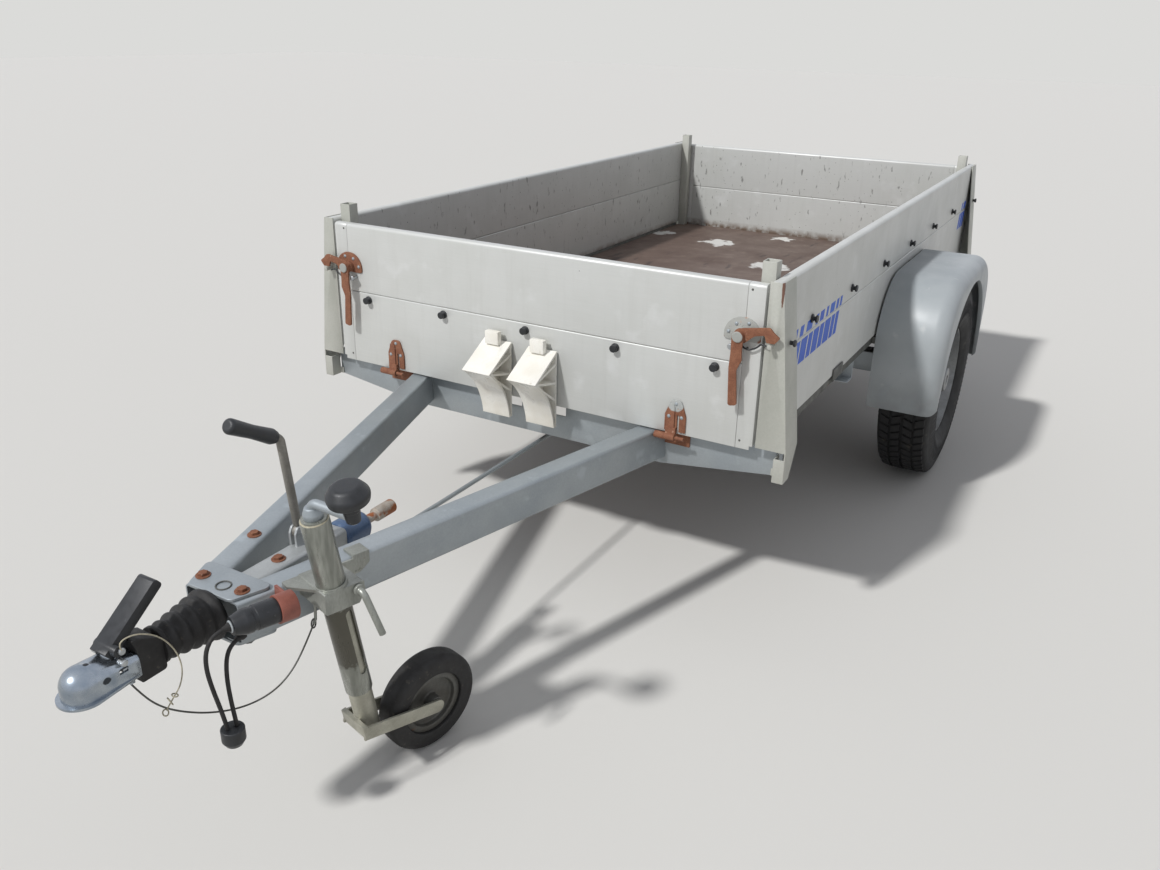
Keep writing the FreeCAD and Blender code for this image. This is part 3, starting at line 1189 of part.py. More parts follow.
def side_slab(corners, start, end):
    """An outline along the tube and upwards, made solid outwards."""
    slab = Part.Face(outline_wire(corners)).extrude(UP * (end - start))
    slab.Placement = Placement(Vector(start, 0, 0), YZ_TURN)
    return slab


def clamp_shape():
    block_corners = [(block_start, clamp_low, 3), (block_end - 11, clamp_low, 3), (block_end, clamp_low + 18, 3),
                     (block_end, clamp_high, 3), (block_start, clamp_high, 3)]
    block = side_slab(block_corners, size.fit_gap, block_side)
    plate_end = block_end + 61
    plate_top = 20
    lip_top = plate_top + 7
    lip_start = plate_end - 32
    plate_corners = [(block_start, clamp_low), (plate_end - 20, clamp_low, 8), (plate_end, clamp_low + 14, 6), (plate_end, lip_top, 2),
                     (lip_start, lip_top, 2), (lip_start, plate_top), (block_start, plate_top)]
    plate = side_slab(plate_corners, size.fit_gap, size.fit_gap + size.clamp_sheet)
    lip = Part.makeBox(28 + size.clamp_sheet, plate_end - lip_start, lip_top - plate_top, Vector(-28, lip_start, plate_top))
    ear_front = block_start - 30
    ear_corners = [(size.fit_gap, ear_front, 3), (20, ear_front, 5), (60, block_start, 0), (60, block_start + 2, 0),
                   (size.fit_gap, block_start + 2, 0)]
    ear = Part.Face(outline_wire(ear_corners, Vector(0, 0, plate_top + 1))).extrude(UP * 5)
    pieces = [block, plate, lip, ear]
    for piece in pieces:
        piece.Placement = clamp_place.multiply(piece.Placement)
    collar = along_tube(Part.makeCylinder(size.jockey_radius + 3, 15, Vector(0, 0, 20)))
    hook = bent_rod([Vector(*wire_points[-1]) + wire_seat * size.fit_gap, Vector(134.3, -848, 376), Vector(136.6, -847.6, 406)],
                    [3], 2.5)
    room = along_tube(Part.makeCylinder(size.jockey_radius + size.fit_gap, 400, Vector(0, 0, -200)))
    tube_room = tube_solid(-size.fit_gap, jockey_y - 150, jockey_y + 200)
    return block.fuse(pieces[1:] + [collar, hook]).cut(room.fuse(tube_room)).removeSplitter()


wire_points = [(20, -1117, 378), (27, -1105, 349), (38, -1088, 321), (52, -1063, 299), (66, -1021, 273), (86, -975, 261),
               (104, -932, 267), (118, -900, 291), (127, -872, 330), (133, -852, 368)]
wire_seat = (Vector(*wire_points[-1]) - Vector(*wire_points[-2])).normalize()
subpart("jockey_clamp", solid("clamp_shape", clamp_shape()))
tommy_start = Vector(block_side + size.fit_gap, block_end - 12, 17)
tommy_points = [tommy_start + ALONG_X * 1.5, tommy_start + Vector(15.2, 1, -2), tommy_start + Vector(36.8, 18, -78)]
tommy_bar = bent_rod(tommy_points, [12], 6).fuse(Part.makeCylinder(10, 6, tommy_start, ALONG_X)).removeSplitter()
tommy_bar.Placement = clamp_place.multiply(tommy_bar.Placement)
subpart("clamp_handle", solid("tommy_bar", tommy_bar))


# Board hinges: the leaf turns with the board, and the base with the pin stays on the cross member
pin_y = -size.hinge_pin_out
pin_z = size.board_bottom - size.hinge_pin_drop
half_hinge = size.hinge_width / 2
knuckle_start = -20
base_start = knuckle_start - size.hinge_knuckle


def leaf_shape():
    shoulder = pin_z + 50
    top = pin_z + size.hinge_height
    low = pin_z + 12
    corners = [(-half_hinge, low), (half_hinge, low), (half_hinge, shoulder, 8), (13, top, 10), (-11, top, 10),
               (-half_hinge, shoulder, 8)]
    leaf = Part.Face(outline_wire(corners, turn=XZ_TURN)).extrude(ALONG_Y * -size.hinge_sheet)
    rib_corners = [(knuckle_start, low + 2), (-1, low + 2), (-1, top - 9, 8), (knuckle_start + 5, top - 9, 4),
                   (knuckle_start, shoulder, 6)]
    rib_out = size.hinge_sheet + size.hinge_rib
    rib = Part.Face(outline_wire(rib_corners, turn=XZ_TURN)).extrude(ALONG_Y * -rib_out)
    slot_length = shoulder + 2 - low
    slot = Part.makeBox(5, 3 * size.hinge_sheet, slot_length, Vector(4.5, -2 * size.hinge_sheet, low - 1))
    knuckle = Part.makeCylinder(size.hinge_radius, size.hinge_knuckle, Vector(knuckle_start, pin_y, pin_z), ALONG_X)
    strap = Part.makeBox(size.hinge_knuckle, size.hinge_pin_out, 22, Vector(knuckle_start, pin_y, pin_z))
    hole = Part.makeCylinder(size.hinge_pin_radius + size.pin_gap, size.hinge_width, Vector(-half_hinge, pin_y, pin_z), ALONG_X)
    return leaf.cut(slot).fuse([rib, knuckle, strap]).cut(hole).removeSplitter()


def base_shape():
    pin_length = half_hinge - base_start
    knuckle_length = size.hinge_knuckle - size.fit_gap
    flange_bottom = channel_bottom + 2
    flange_top = pin_z + 6
    strap_z = pin_z - size.hinge_radius
    pin = Part.makeCylinder(size.hinge_pin_radius, pin_length, Vector(base_start, pin_y, pin_z), ALONG_X)
    knuckle = Part.makeCylinder(size.hinge_radius, knuckle_length, Vector(base_start, pin_y, pin_z), ALONG_X)
    strap = Part.makeBox(knuckle_length, stake_front - pin_y, size.hinge_sheet, Vector(base_start, pin_y, strap_z))
    flange = Part.makeBox(pin_length, size.hinge_sheet, flange_top - flange_bottom,
                          Vector(base_start, stake_front - size.hinge_sheet, flange_bottom))
    return knuckle.fuse([pin, strap, flange]).removeSplitter()


hinge_x = board_half - size.hinge_inset
leaf = solid("leaf_shape", leaf_shape())
base = solid("base_shape", base_shape())
leaves = [copied(f"leaf{side + 1}", leaf, (side * hinge_x, 0, 0)) for side in (-1, 1)]
bases = [copied(f"base{side + 1}", base, (side * hinge_x, 0, 0)) for side in (-1, 1)]
tube_notch = solid("tube_notch", tube_solid(-size.fit_gap, -100, stake_front + 1))
subpart("front_hinge_leaves", *leaves)
subpart("front_hinge_bases", bases[0], cut("notched_base", bases[1], tube_notch))
subpart("tailgate_hinge_leaves", *[turned_to_rear(f"rear_leaf{n}", piece) for n, piece in enumerate(leaves)])
subpart("tailgate_hinge_bases", *[turned_to_rear(f"rear_base{n}", piece) for n, piece in enumerate(bases)])


# Latches: a plate, the pivot's boss, a claw that hooks over the post's lug, and a lever
def latch_piece(name, corners, thickness, out):
    return pad(name, "XZ_Plane", [corners], thickness, at=(latch_x, -out, latch_z))


plate_corners = [(-38.5, 35.3, 38), (41.5, 35.3, 38), (41.5, -14, 6), (-38.5, -14, 6)]
claw_corners = [(-12, 8, 6), (4, 16, 10), (size.claw_reach - 3, 26, 8), (size.claw_reach + 6, 16.4, 8), (size.claw_reach + 19, 7.4, 3),
                (size.claw_reach + 9, -size.claw_drop, 2), (size.claw_reach - 8, -size.claw_drop, 2),
                (size.claw_reach - 13, 8.7, 4), (32.8, 4.2, 12), (11.4, -14.4, 4), (-8, -12, 6)]
lever_corners = [(-13, 6, 6), (12, 6, 6), (10.5, -31, 6), (12, -49, 8), (2.3, -72, 14), (9, -147, 5), (-9.6, -151, 5),
                 (-14.2, -68, 14), (-12.5, -37, 10)]
latch_plate = latch_piece("latch_plate", plate_corners, "sizes.post_sheet", 0)
claw = latch_piece("claw", claw_corners, "sizes.latch_sheet", size.latch_claw_out)
latch_lever = latch_piece("latch_lever", lever_corners, "sizes.latch_sheet", size.latch_lever_out)
boss = revolution("latch_boss", [[(0, 0), (14, 0), (14, size.latch_claw_out, 2), (12, size.latch_claw_out + 2, 1), (12, size.latch_out, 3),
                                  (0, size.latch_out)]], at=(latch_x, 0, latch_z), axis=ALONG_X, angle=90)
latch_right = combine("Fuse", "latch_right", latch_plate, boss, claw, latch_lever)
latch_left = mirrored("latch_left", latch_right)
subpart("front_latches", latch_right, latch_left)
subpart("tailgate_latches", turned_to_rear("rear_latch0", latch_right), turned_to_rear("rear_latch1", latch_left))

# Wheel chocks in their holders on the front board
chock_back = -(size.chock_bracket + size.fit_gap)
chock_top = board_top - size.chock_drop
chock_bottom = chock_top - size.chock_length
chock_nose = Vector(0, chock_back - size.chock_depth, chock_top - 55)
chock_tail = Vector(0, chock_back - 12, chock_bottom)
chock_hollow = Vector(0, chock_back - 38, chock_top - 112)


def chock_profile():
    """Flat back, sloping top, and a concave face that fits a wheel."""
    top = Vector(0, chock_back, chock_top)
    bottom = Vector(0, chock_back, chock_bottom)
    return Part.Wire([Part.LineSegment(bottom, top).toShape(), Part.LineSegment(top, chock_nose).toShape(),
                      Part.Arc(chock_nose, chock_hollow, chock_tail).toShape(), Part.LineSegment(chock_tail, bottom).toShape()])


def chock_ribs():
    """Thin walls that fan out from the nose to the back."""
    ribs = []
    for height in (-30, -78, -122):
        end = Vector(0, chock_back, chock_top + height)
        way = (end - chock_nose).normalize()
        across = ALONG_X.cross(way) * (size.chock_wall / 2)
        corners = [chock_nose - across, end - across, end + across, chock_nose + across]
        ribs.append(Part.Face(Part.makePolygon(corners + corners[:1])).extrude(ALONG_X * size.chock_width))
    return ribs


def chock_shape():
    """A moulded block with ribbed pockets in both sides."""
    block = Part.Face(chock_profile()).extrude(ALONG_X * size.chock_width)
    pocket_depth = (size.chock_width - size.chock_web) / 2
    pocket = Part.Face(chock_profile().makeOffset2D(-size.chock_wall)).extrude(ALONG_X * pocket_depth)
    pocket = pocket.cut(chock_ribs())
    far_pocket = pocket.copy()
    far_pocket.translate(ALONG_X * (size.chock_width - pocket_depth))
    nub = Part.makeBox(36, 15, 31, Vector(17, chock_back - 22, chock_top - 6))
    return block.cut([pocket, far_pocket]).fuse(nub).removeSplitter()


chock = solid("chock", chock_shape())
chocks, holders = [], []
for index, side in enumerate((-1, 1)):
    x = -size.chock_centre + side * size.chock_pitch / 2 - size.chock_width / 2
    chocks.append(copied(f"chock{index}", chock, (x, 0, 0)))
    holders.append(box(f"holder{index}", (x + 6, x + size.chock_width - 6), (-size.chock_bracket, 0),
                       (chock_top - 120, chock_top - 14), Width="sizes.chock_bracket"))
subpart("wheel_chocks", *chocks)
subpart("chock_holders", *holders)

# Plug parked in its holder beside the drawbar plate
plug_y = front_bolts - size.plug_ahead
plug_start = Vector(tube_side_at(plug_y) + size.plug_offset, plug_y, size.plug_height)
plug_way = Vector(34, 114, -4).normalize()
plug_turn = Rotation(Vector(0, 0, 0), UP, plug_way, "ZYX")
waist = size.plug_radius - 1.5
plug_outline = [(0, 0), (size.plug_radius - 6, 0, 1), (size.plug_radius, 20, 2), (size.plug_radius, 30), (waist, 31, 0.5), (waist, 37, 0.5),
                (size.plug_radius, 38), (size.plug_radius, size.plug_length), (0, size.plug_length)]
plug_body = revolution("plug_body", [plug_outline])
plug_body.Placement = Placement(plug_start, plug_turn)
subpart("parked_plug", plug_body)
holder_start = plug_start + plug_way * (size.plug_length + size.fit_gap)
holder_reach = (holder_start.x - tube_side_at(holder_start.y)) * math.cos(clamp_turn) - size.fit_gap
holder_ring = Part.makeCylinder(size.plug_radius + 3, size.plug_collar)
holder_arm = Part.makeBox(holder_reach, size.plug_radius, size.plug_holder_sheet)
holder_arm.translate(Vector(0, -size.plug_radius / 2, size.plug_collar - size.plug_holder_sheet))
holder_shape = holder_ring.fuse(holder_arm)
holder_shape.Placement = Placement(holder_start, plug_turn)
subpart("plug_holder", solid("holder_shape", holder_shape))

# Rear lamps on brackets under the rear cross member
lamps, lamp_brackets = [], []
lamp_top = channel_bottom - size.lamp_drop
lamp_rear = rear_face - size.lamp_inset
lamp_low = lamp_top - size.lamp_height
half_lamp = size.lamp_length / 2
bracket_rear = lamp_rear - size.lamp_depth - size.fit_gap
for side in (-1, 1):
    middle = side * size.lamp_offset
    corners = [(-half_lamp, lamp_low, size.lamp_round), (half_lamp, lamp_low, size.lamp_round),
               (half_lamp, lamp_top, size.lamp_round), (-half_lamp, lamp_top, size.lamp_round)]
    lamps.append(pad(f"lamp{side + 1}", "XZ_Plane", [corners], "sizes.lamp_depth", at=(middle, lamp_rear, 0)))
    lamp_brackets.append(box(f"lamp_bracket{side + 1}", (middle - half_lamp, middle + half_lamp),
                             (bracket_rear - size.channel_sheet, bracket_rear), (lamp_low, channel_bottom),
                             Width="sizes.channel_sheet"))
subpart("rear_lamps", *lamps)
subpart("brackets", *guard_blocks, *side_plates, *lamp_brackets)


# Free cords: the plug's lead, its end cap, and the breakaway wire
def cord(name, points, radius):
    points = [Vector(*point) for point in points]
    radii = []
    for before, here, after in zip(points, points[1:], points[2:]):
        turn = (here - before).getAngle(after - here)
        radii.append(0.45 * min((here - before).Length, (after - here).Length) / math.tan(turn / 2))
    shape = bent_rod(points, radii, radius)
    path = Part.Wire([edge.toShape() for edge in path_edges(points, radii)])
    print(name, "radii", [round(value) for value in radii], "length", round(path.Length, 1),
          "volume ratio", round(shape.Volume / (path.Length * math.pi * radius ** 2), 4))
    subpart(name, solid(name + "_tube", shape))


lead_front = [(103.6, -991, 433), (96, -1015, 432), (95, -1034, 413), (97, -1040, 383), (101, -1037, 343),
              (105, -1031, 303), (107, -1026, 263)]
lead_rear = [(104, -972, 407), (104, -991, 404), (104, -1006, 389), (106, -1013, 355), (109, -1014, 308), (112, -1012, 263)]
cord("lead_front", lead_front, size.lead_radius)
cord("lead_rear", lead_rear, size.lead_radius)
cord("breakaway_wire", wire_points, size.wire_radius)
lead_cap = turned([(0, 0), (13, 0, 3), (19, 10, 4), (19, 32, 2), (0, 32)])
lead_cap.translate(Vector(109.5, -1019, 231 - 3 * size.fit_gap))
subpart("lead_cap", solid("lead_cap_shape", lead_cap))

doc.recompute()
for item in doc.Objects:
    broken = [state for state in item.State if state in ("Invalid", "Error")]
    if broken:
        raise RuntimeError(f"{item.Name} is {item.State}")
for item in subparts:
    if item.Shape.isNull() or not item.Shape.isValid() or not item.Shape.Solids:
        raise RuntimeError(f"{item.Label} has no valid shape")

os.makedirs("parts", exist_ok=True)
for item in subparts:
    item.Shape.exportStep(f"parts/{item.Label}.step")
print(len(subparts), "sub-parts,", sum(len(item.Shape.Solids) for item in subparts), "solids")
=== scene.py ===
import json
import math

import bmesh
import bpy
from mathutils import Matrix, Vector


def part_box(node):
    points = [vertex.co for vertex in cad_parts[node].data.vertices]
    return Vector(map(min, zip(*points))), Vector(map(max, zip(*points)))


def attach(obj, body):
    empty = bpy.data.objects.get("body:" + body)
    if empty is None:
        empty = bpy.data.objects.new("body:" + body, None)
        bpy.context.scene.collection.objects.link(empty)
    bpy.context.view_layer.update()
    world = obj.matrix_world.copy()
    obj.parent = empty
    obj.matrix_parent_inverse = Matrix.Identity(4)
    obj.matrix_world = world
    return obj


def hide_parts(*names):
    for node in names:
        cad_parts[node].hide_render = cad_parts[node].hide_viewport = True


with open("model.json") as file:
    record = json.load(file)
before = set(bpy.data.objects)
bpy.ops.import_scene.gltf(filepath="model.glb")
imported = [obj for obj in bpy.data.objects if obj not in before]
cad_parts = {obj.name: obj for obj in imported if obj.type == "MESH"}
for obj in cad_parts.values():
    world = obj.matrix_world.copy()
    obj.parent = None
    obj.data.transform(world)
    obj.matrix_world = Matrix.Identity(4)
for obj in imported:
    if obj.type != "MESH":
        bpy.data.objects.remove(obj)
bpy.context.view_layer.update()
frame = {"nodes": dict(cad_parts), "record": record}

# Places along the trailer are counted from the front board's outer face, in metres
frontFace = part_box("front_board")[0].y
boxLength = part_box("tailgate_board")[1].y - frontFace
wallThickness = 0.025
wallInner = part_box("side_wall_right")[0].x
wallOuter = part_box("side_wall_right")[1].x
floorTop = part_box("floor_board")[1].z

photo = {"width": 1160, "focalPixels": 965.73, "sensor": 36.0,
         "place": (1.1804, -1.8108, 1.2951), "turn": 0.5168, "pitch": -0.4031, "roll": 0.0195}


def at(x, y, z):
    return Vector((x, frontFace + y, z))


def mm(x, y, z):   # the same in millimetres
    return at(x / 1000, y / 1000, z / 1000)


def intoScene(name, data):
    piece = bpy.data.objects.new(name, data)
    bpy.context.scene.collection.objects.link(piece)
    return piece


def addCamera():
    turn, pitch, roll = photo["turn"], photo["pitch"], photo["roll"]
    ahead = Vector((-math.sin(turn) * math.cos(pitch), math.cos(turn) * math.cos(pitch), math.sin(pitch)))
    level = Vector((math.cos(turn), math.sin(turn), 0))
    upright = level.cross(ahead)
    right = level * math.cos(roll) + upright * math.sin(roll)
    up = upright * math.cos(roll) - level * math.sin(roll)
    camera = intoScene("photoCamera", bpy.data.cameras.new("photoCamera"))
    camera.data.sensor_width = photo["sensor"]
    camera.data.lens = photo["focalPixels"] / photo["width"] * photo["sensor"]
    camera.data.clip_end = 60
    spin = Matrix((right, up, -ahead)).transposed().to_4x4()
    camera.matrix_world = Matrix.Translation(at(*photo["place"])) @ spin
    bpy.context.scene.camera = camera


def hexColour(text):   # sRGB hex to the linear colour that shaders want
    parts = [int(text[i:i + 2], 16) / 255 for i in (1, 3, 5)]
    linear = [p / 12.92 if p <= 0.04045 else ((p + 0.055) / 1.055) ** 2.4 for p in parts]
    return (*linear, 1)


def addNode(tree, kind, inputs=None, stops=None, **settings):   # one node, its settings and what feeds it
    node = tree.nodes.new(kind)
    for name, value in settings.items():
        setattr(node, name, value)
    for key, value in (inputs or {}).items():
        if isinstance(value, bpy.types.NodeSocket):
            tree.links.new(value, node.inputs[key])
        else:
            node.inputs[key].default_value = value
    if stops:
        while len(node.color_ramp.elements) < len(stops):
            node.color_ramp.elements.new(0.5)
        for element, (position, colour) in zip(node.color_ramp.elements, stops):
            element.position = position
            element.color = hexColour(colour)
    return node


def newMaterial(name):
    material = bpy.data.materials.new(name)
    material.use_nodes = True
    material.node_tree.nodes.clear()
    return material


studio = {"floor": "#dcdad5", "world": "#f4f7ff", "backdrop": "#dddddb", "worldStrength": 0.36, "background": 0.98,
          "sunStrength": 2.75, "sunSoftness": 4, "sunFrom": (-0.44, -1.1, 1.2), "floorHalf": 30}


def addStudio():
    world = bpy.data.worlds.new("studioWorld")
    world.use_nodes = True
    tree = world.node_tree
    tree.nodes.clear()
    path = addNode(tree, "ShaderNodeLightPath")
    camera, glossy = path.outputs["Is Camera Ray"], path.outputs["Is Glossy Ray"]
    seen = addNode(tree, "ShaderNodeMath", {0: camera, 1: glossy}, operation="MAXIMUM")
    light = addNode(tree, "ShaderNodeMapRange", {
        "Value": seen.outputs[0], "To Min": studio["worldStrength"], "To Max": studio["background"]})
    colour = addNode(tree, "ShaderNodeMix", {
        0: camera, 6: hexColour(studio["world"]), 7: hexColour(studio["backdrop"])}, data_type="RGBA")
    sky = addNode(tree, "ShaderNodeBackground", {"Color": colour.outputs[2], "Strength": light.outputs[0]})
    addNode(tree, "ShaderNodeOutputWorld", {"Surface": sky.outputs[0]})
    bpy.context.scene.world = world
    sun = intoScene("keySun", bpy.data.lights.new("keySun", "SUN"))
    sun.data.energy = studio["sunStrength"]
    sun.data.angle = math.radians(studio["sunSoftness"])
    sun.rotation_euler = Vector(studio["sunFrom"]).to_track_quat("Z", "Y").to_euler()
    half = studio["floorHalf"]
    mesh = bpy.data.meshes.new("floor")
    mesh.from_pydata([(-half, -half, 0), (half, -half, 0), (half, half, 0), (-half, half, 0)], [], [(0, 1, 2, 3)])
    material = newMaterial("paleFloor")
    facts = {"Base Color": hexColour(studio["floor"]), "Roughness": 0.9}
    shader = addNode(material.node_tree, "ShaderNodeBsdfPrincipled", facts)
    addNode(material.node_tree, "ShaderNodeOutputMaterial", {"Surface": shader.outputs[0]})
    mesh.materials.append(material)
    intoScene("floor", mesh)


addCamera()
addStudio()
bpy.context.scene.view_settings.view_transform = "Standard"
print("camera, light and floor")


# Finishes. A noise's size is given in millimetres, and turned into Blender's scale here.
def fromMm(size):
    return 1000 / size


def surfacePattern(tree, stretch=(1, 1, 1)):   # object coordinates, stretched where a finish runs one way
    place = addNode(tree, "ShaderNodeTexCoord")
    return addNode(tree, "ShaderNodeMapping", {"Vector": place.outputs["Object"], "Scale": stretch}).outputs[0]


def heightMask(tree, low, high):   # 1 below low, 0 above high, in metres above the floor
    place = addNode(tree, "ShaderNodeTexCoord")
    parts = addNode(tree, "ShaderNodeSeparateXYZ", {0: place.outputs["Object"]})
    return addNode(tree, "ShaderNodeMapRange", {
        "Value": parts.outputs[2], "From Min": low, "From Max": high, "To Min": 1.0, "To Max": 0.0}).outputs[0]


def noiseMask(tree, vector, size, low, high, detail=4.0, seed=0.0):   # soft patches, 0 to 1
    given = {"Vector": vector, "W": seed, "Scale": fromMm(size), "Detail": detail}
    noise = addNode(tree, "ShaderNodeTexNoise", given, noise_dimensions="4D").outputs["Fac"]
    return addNode(tree, "ShaderNodeMapRange", {"Value": noise, "From Min": low, "From Max": high}).outputs[0]


def speckMask(tree, vector, spacing, radius):   # small round marks, one in each cell
    cells = addNode(tree, "ShaderNodeTexVoronoi", {"Vector": vector, "Scale": fromMm(spacing)}).outputs["Distance"]
    edges = {"Value": cells, "From Min": radius / spacing, "From Max": 0.5 * radius / spacing}
    return addNode(tree, "ShaderNodeMapRange", edges).outputs[0]


spotEdge = {"grain": 9, "raggedness": 0.5, "outside": 1.25, "inside": 1.12}   # mm, then shares of a spot's reach


def spotMask(tree, middle, reach, shares):   # 1 within reach of a place in mm, squeezed along the axes by the shares
    place = addNode(tree, "ShaderNodeTexCoord").outputs["Object"]
    edge = addNode(tree, "ShaderNodeTexNoise", {"Vector": place, "Scale": fromMm(spotEdge["grain"]), "Detail": 5.0})
    away = addNode(tree, "ShaderNodeVectorMath", {0: place, 1: mm(*middle)}, operation="SUBTRACT")
    squeezed = addNode(tree, "ShaderNodeVectorMath", {0: away.outputs[0], 1: shares}, operation="MULTIPLY")
    gap = addNode(tree, "ShaderNodeVectorMath", {0: squeezed.outputs[0]}, operation="LENGTH")
    metres = reach / 1000
    ragged = addNode(tree, "ShaderNodeMath", {
        0: edge.outputs["Fac"], 1: metres * spotEdge["raggedness"], 2: gap.outputs["Value"]}, operation="MULTIPLY_ADD")
    return addNode(tree, "ShaderNodeMapRange", {
        "Value": ragged.outputs[0], "From Min": metres * spotEdge["outside"],
        "From Max": metres * spotEdge["inside"]}).outputs[0]


def paintOver(tree, under, over, *masks):   # the masks multiplied say where one colour covers the other
    factor = masks[0]
    for mask in masks[1:]:
        factor = addNode(tree, "ShaderNodeMath", {0: factor, 1: mask}, operation="MULTIPLY").outputs[0]
    first, second = (hexColour(colour) if isinstance(colour, str) else colour for colour in (under, over))
    return addNode(tree, "ShaderNodeMix", {0: factor, 6: first, 7: second}, data_type="RGBA").outputs[2]


def finishSurface(material, colour, patches, height, facts):   # roughness follows the patches, if there are any
    tree = material.node_tree
    rough = facts["rough"]
    if patches is not None:
        given = {"Value": patches, "To Min": rough[0], "To Max": rough[1]}
        rough = addNode(tree, "ShaderNodeMapRange", given).outputs[0]
    bump = addNode(tree, "ShaderNodeBump", {
        "Height": height, "Strength": facts.get("bump", 0.2), "Distance": facts.get("bumpDepth", 0.0005)})
    shader = addNode(tree, "ShaderNodeBsdfPrincipled", {
        "Base Color": colour, "Roughness": rough, "Metallic": facts.get("metal", 0.0), "Normal": bump.outputs[0],
        "Coat Weight": facts.get("coat", 0.0), "Coat Roughness": 0.15})
    addNode(tree, "ShaderNodeOutputMaterial", {"Surface": shader.outputs[0]})
    return material


# Weathered finishes: soft patches of a second tone, fine grain, specks, and dirt that gathers low down.
# Wear is a colour, its size and where its noise starts. Specks are a colour, spacing, radius and share.
# Dirt is a colour, the heights between which it fades in metres, and its share.
def weatheredMaterial(facts):
    material = newMaterial(facts["title"])
    tree = material.node_tree
    vector = surfacePattern(tree, facts.get("stretch", (1, 1, 1)))
    plain = surfacePattern(tree)
    patches = noiseMask(tree, vector, facts["patch"], 0.38, 0.66, 5.0)
    grain = noiseMask(tree, vector, facts["grain"], 0.3, 0.7, 6.0, 2.0)
    colour = paintOver(tree, facts["base"], facts["tone"], patches)
    colour = paintOver(tree, colour, facts["deep"], grain, facts.get("grainShare", 0.35))
    for spotColour, middle, reach, shares in facts.get("spots", []):   # a place of its own colour, with a ragged edge
        colour = paintOver(tree, colour, spotColour, spotMask(tree, middle, reach, shares))
    if "wear" in facts:   # pale or rusty places that break through
        wearColour, wearSize, wearLow = facts["wear"]
        worn = noiseMask(tree, plain, wearSize, wearLow, wearLow + 0.08, 8.0, 5.0)
        colour = paintOver(tree, colour, wearColour, worn)
    if "specks" in facts:
        speckColour, spacing, radius, share = facts["specks"]
        scattered = noiseMask(tree, plain, spacing * 4, 0.5, 0.56, 2.0, 8.0)
        colour = paintOver(tree, colour, speckColour, speckMask(tree, plain, spacing, radius), scattered, share)
    if "dirt" in facts:
        dirtColour, low, high, share = facts["dirt"]
        uneven = noiseMask(tree, plain, 45, 0.25, 0.7, 6.0, 3.0)
        colour = paintOver(tree, colour, dirtColour, heightMask(tree, low, high), uneven, share)
    return finishSurface(material, colour, patches, grain, facts)


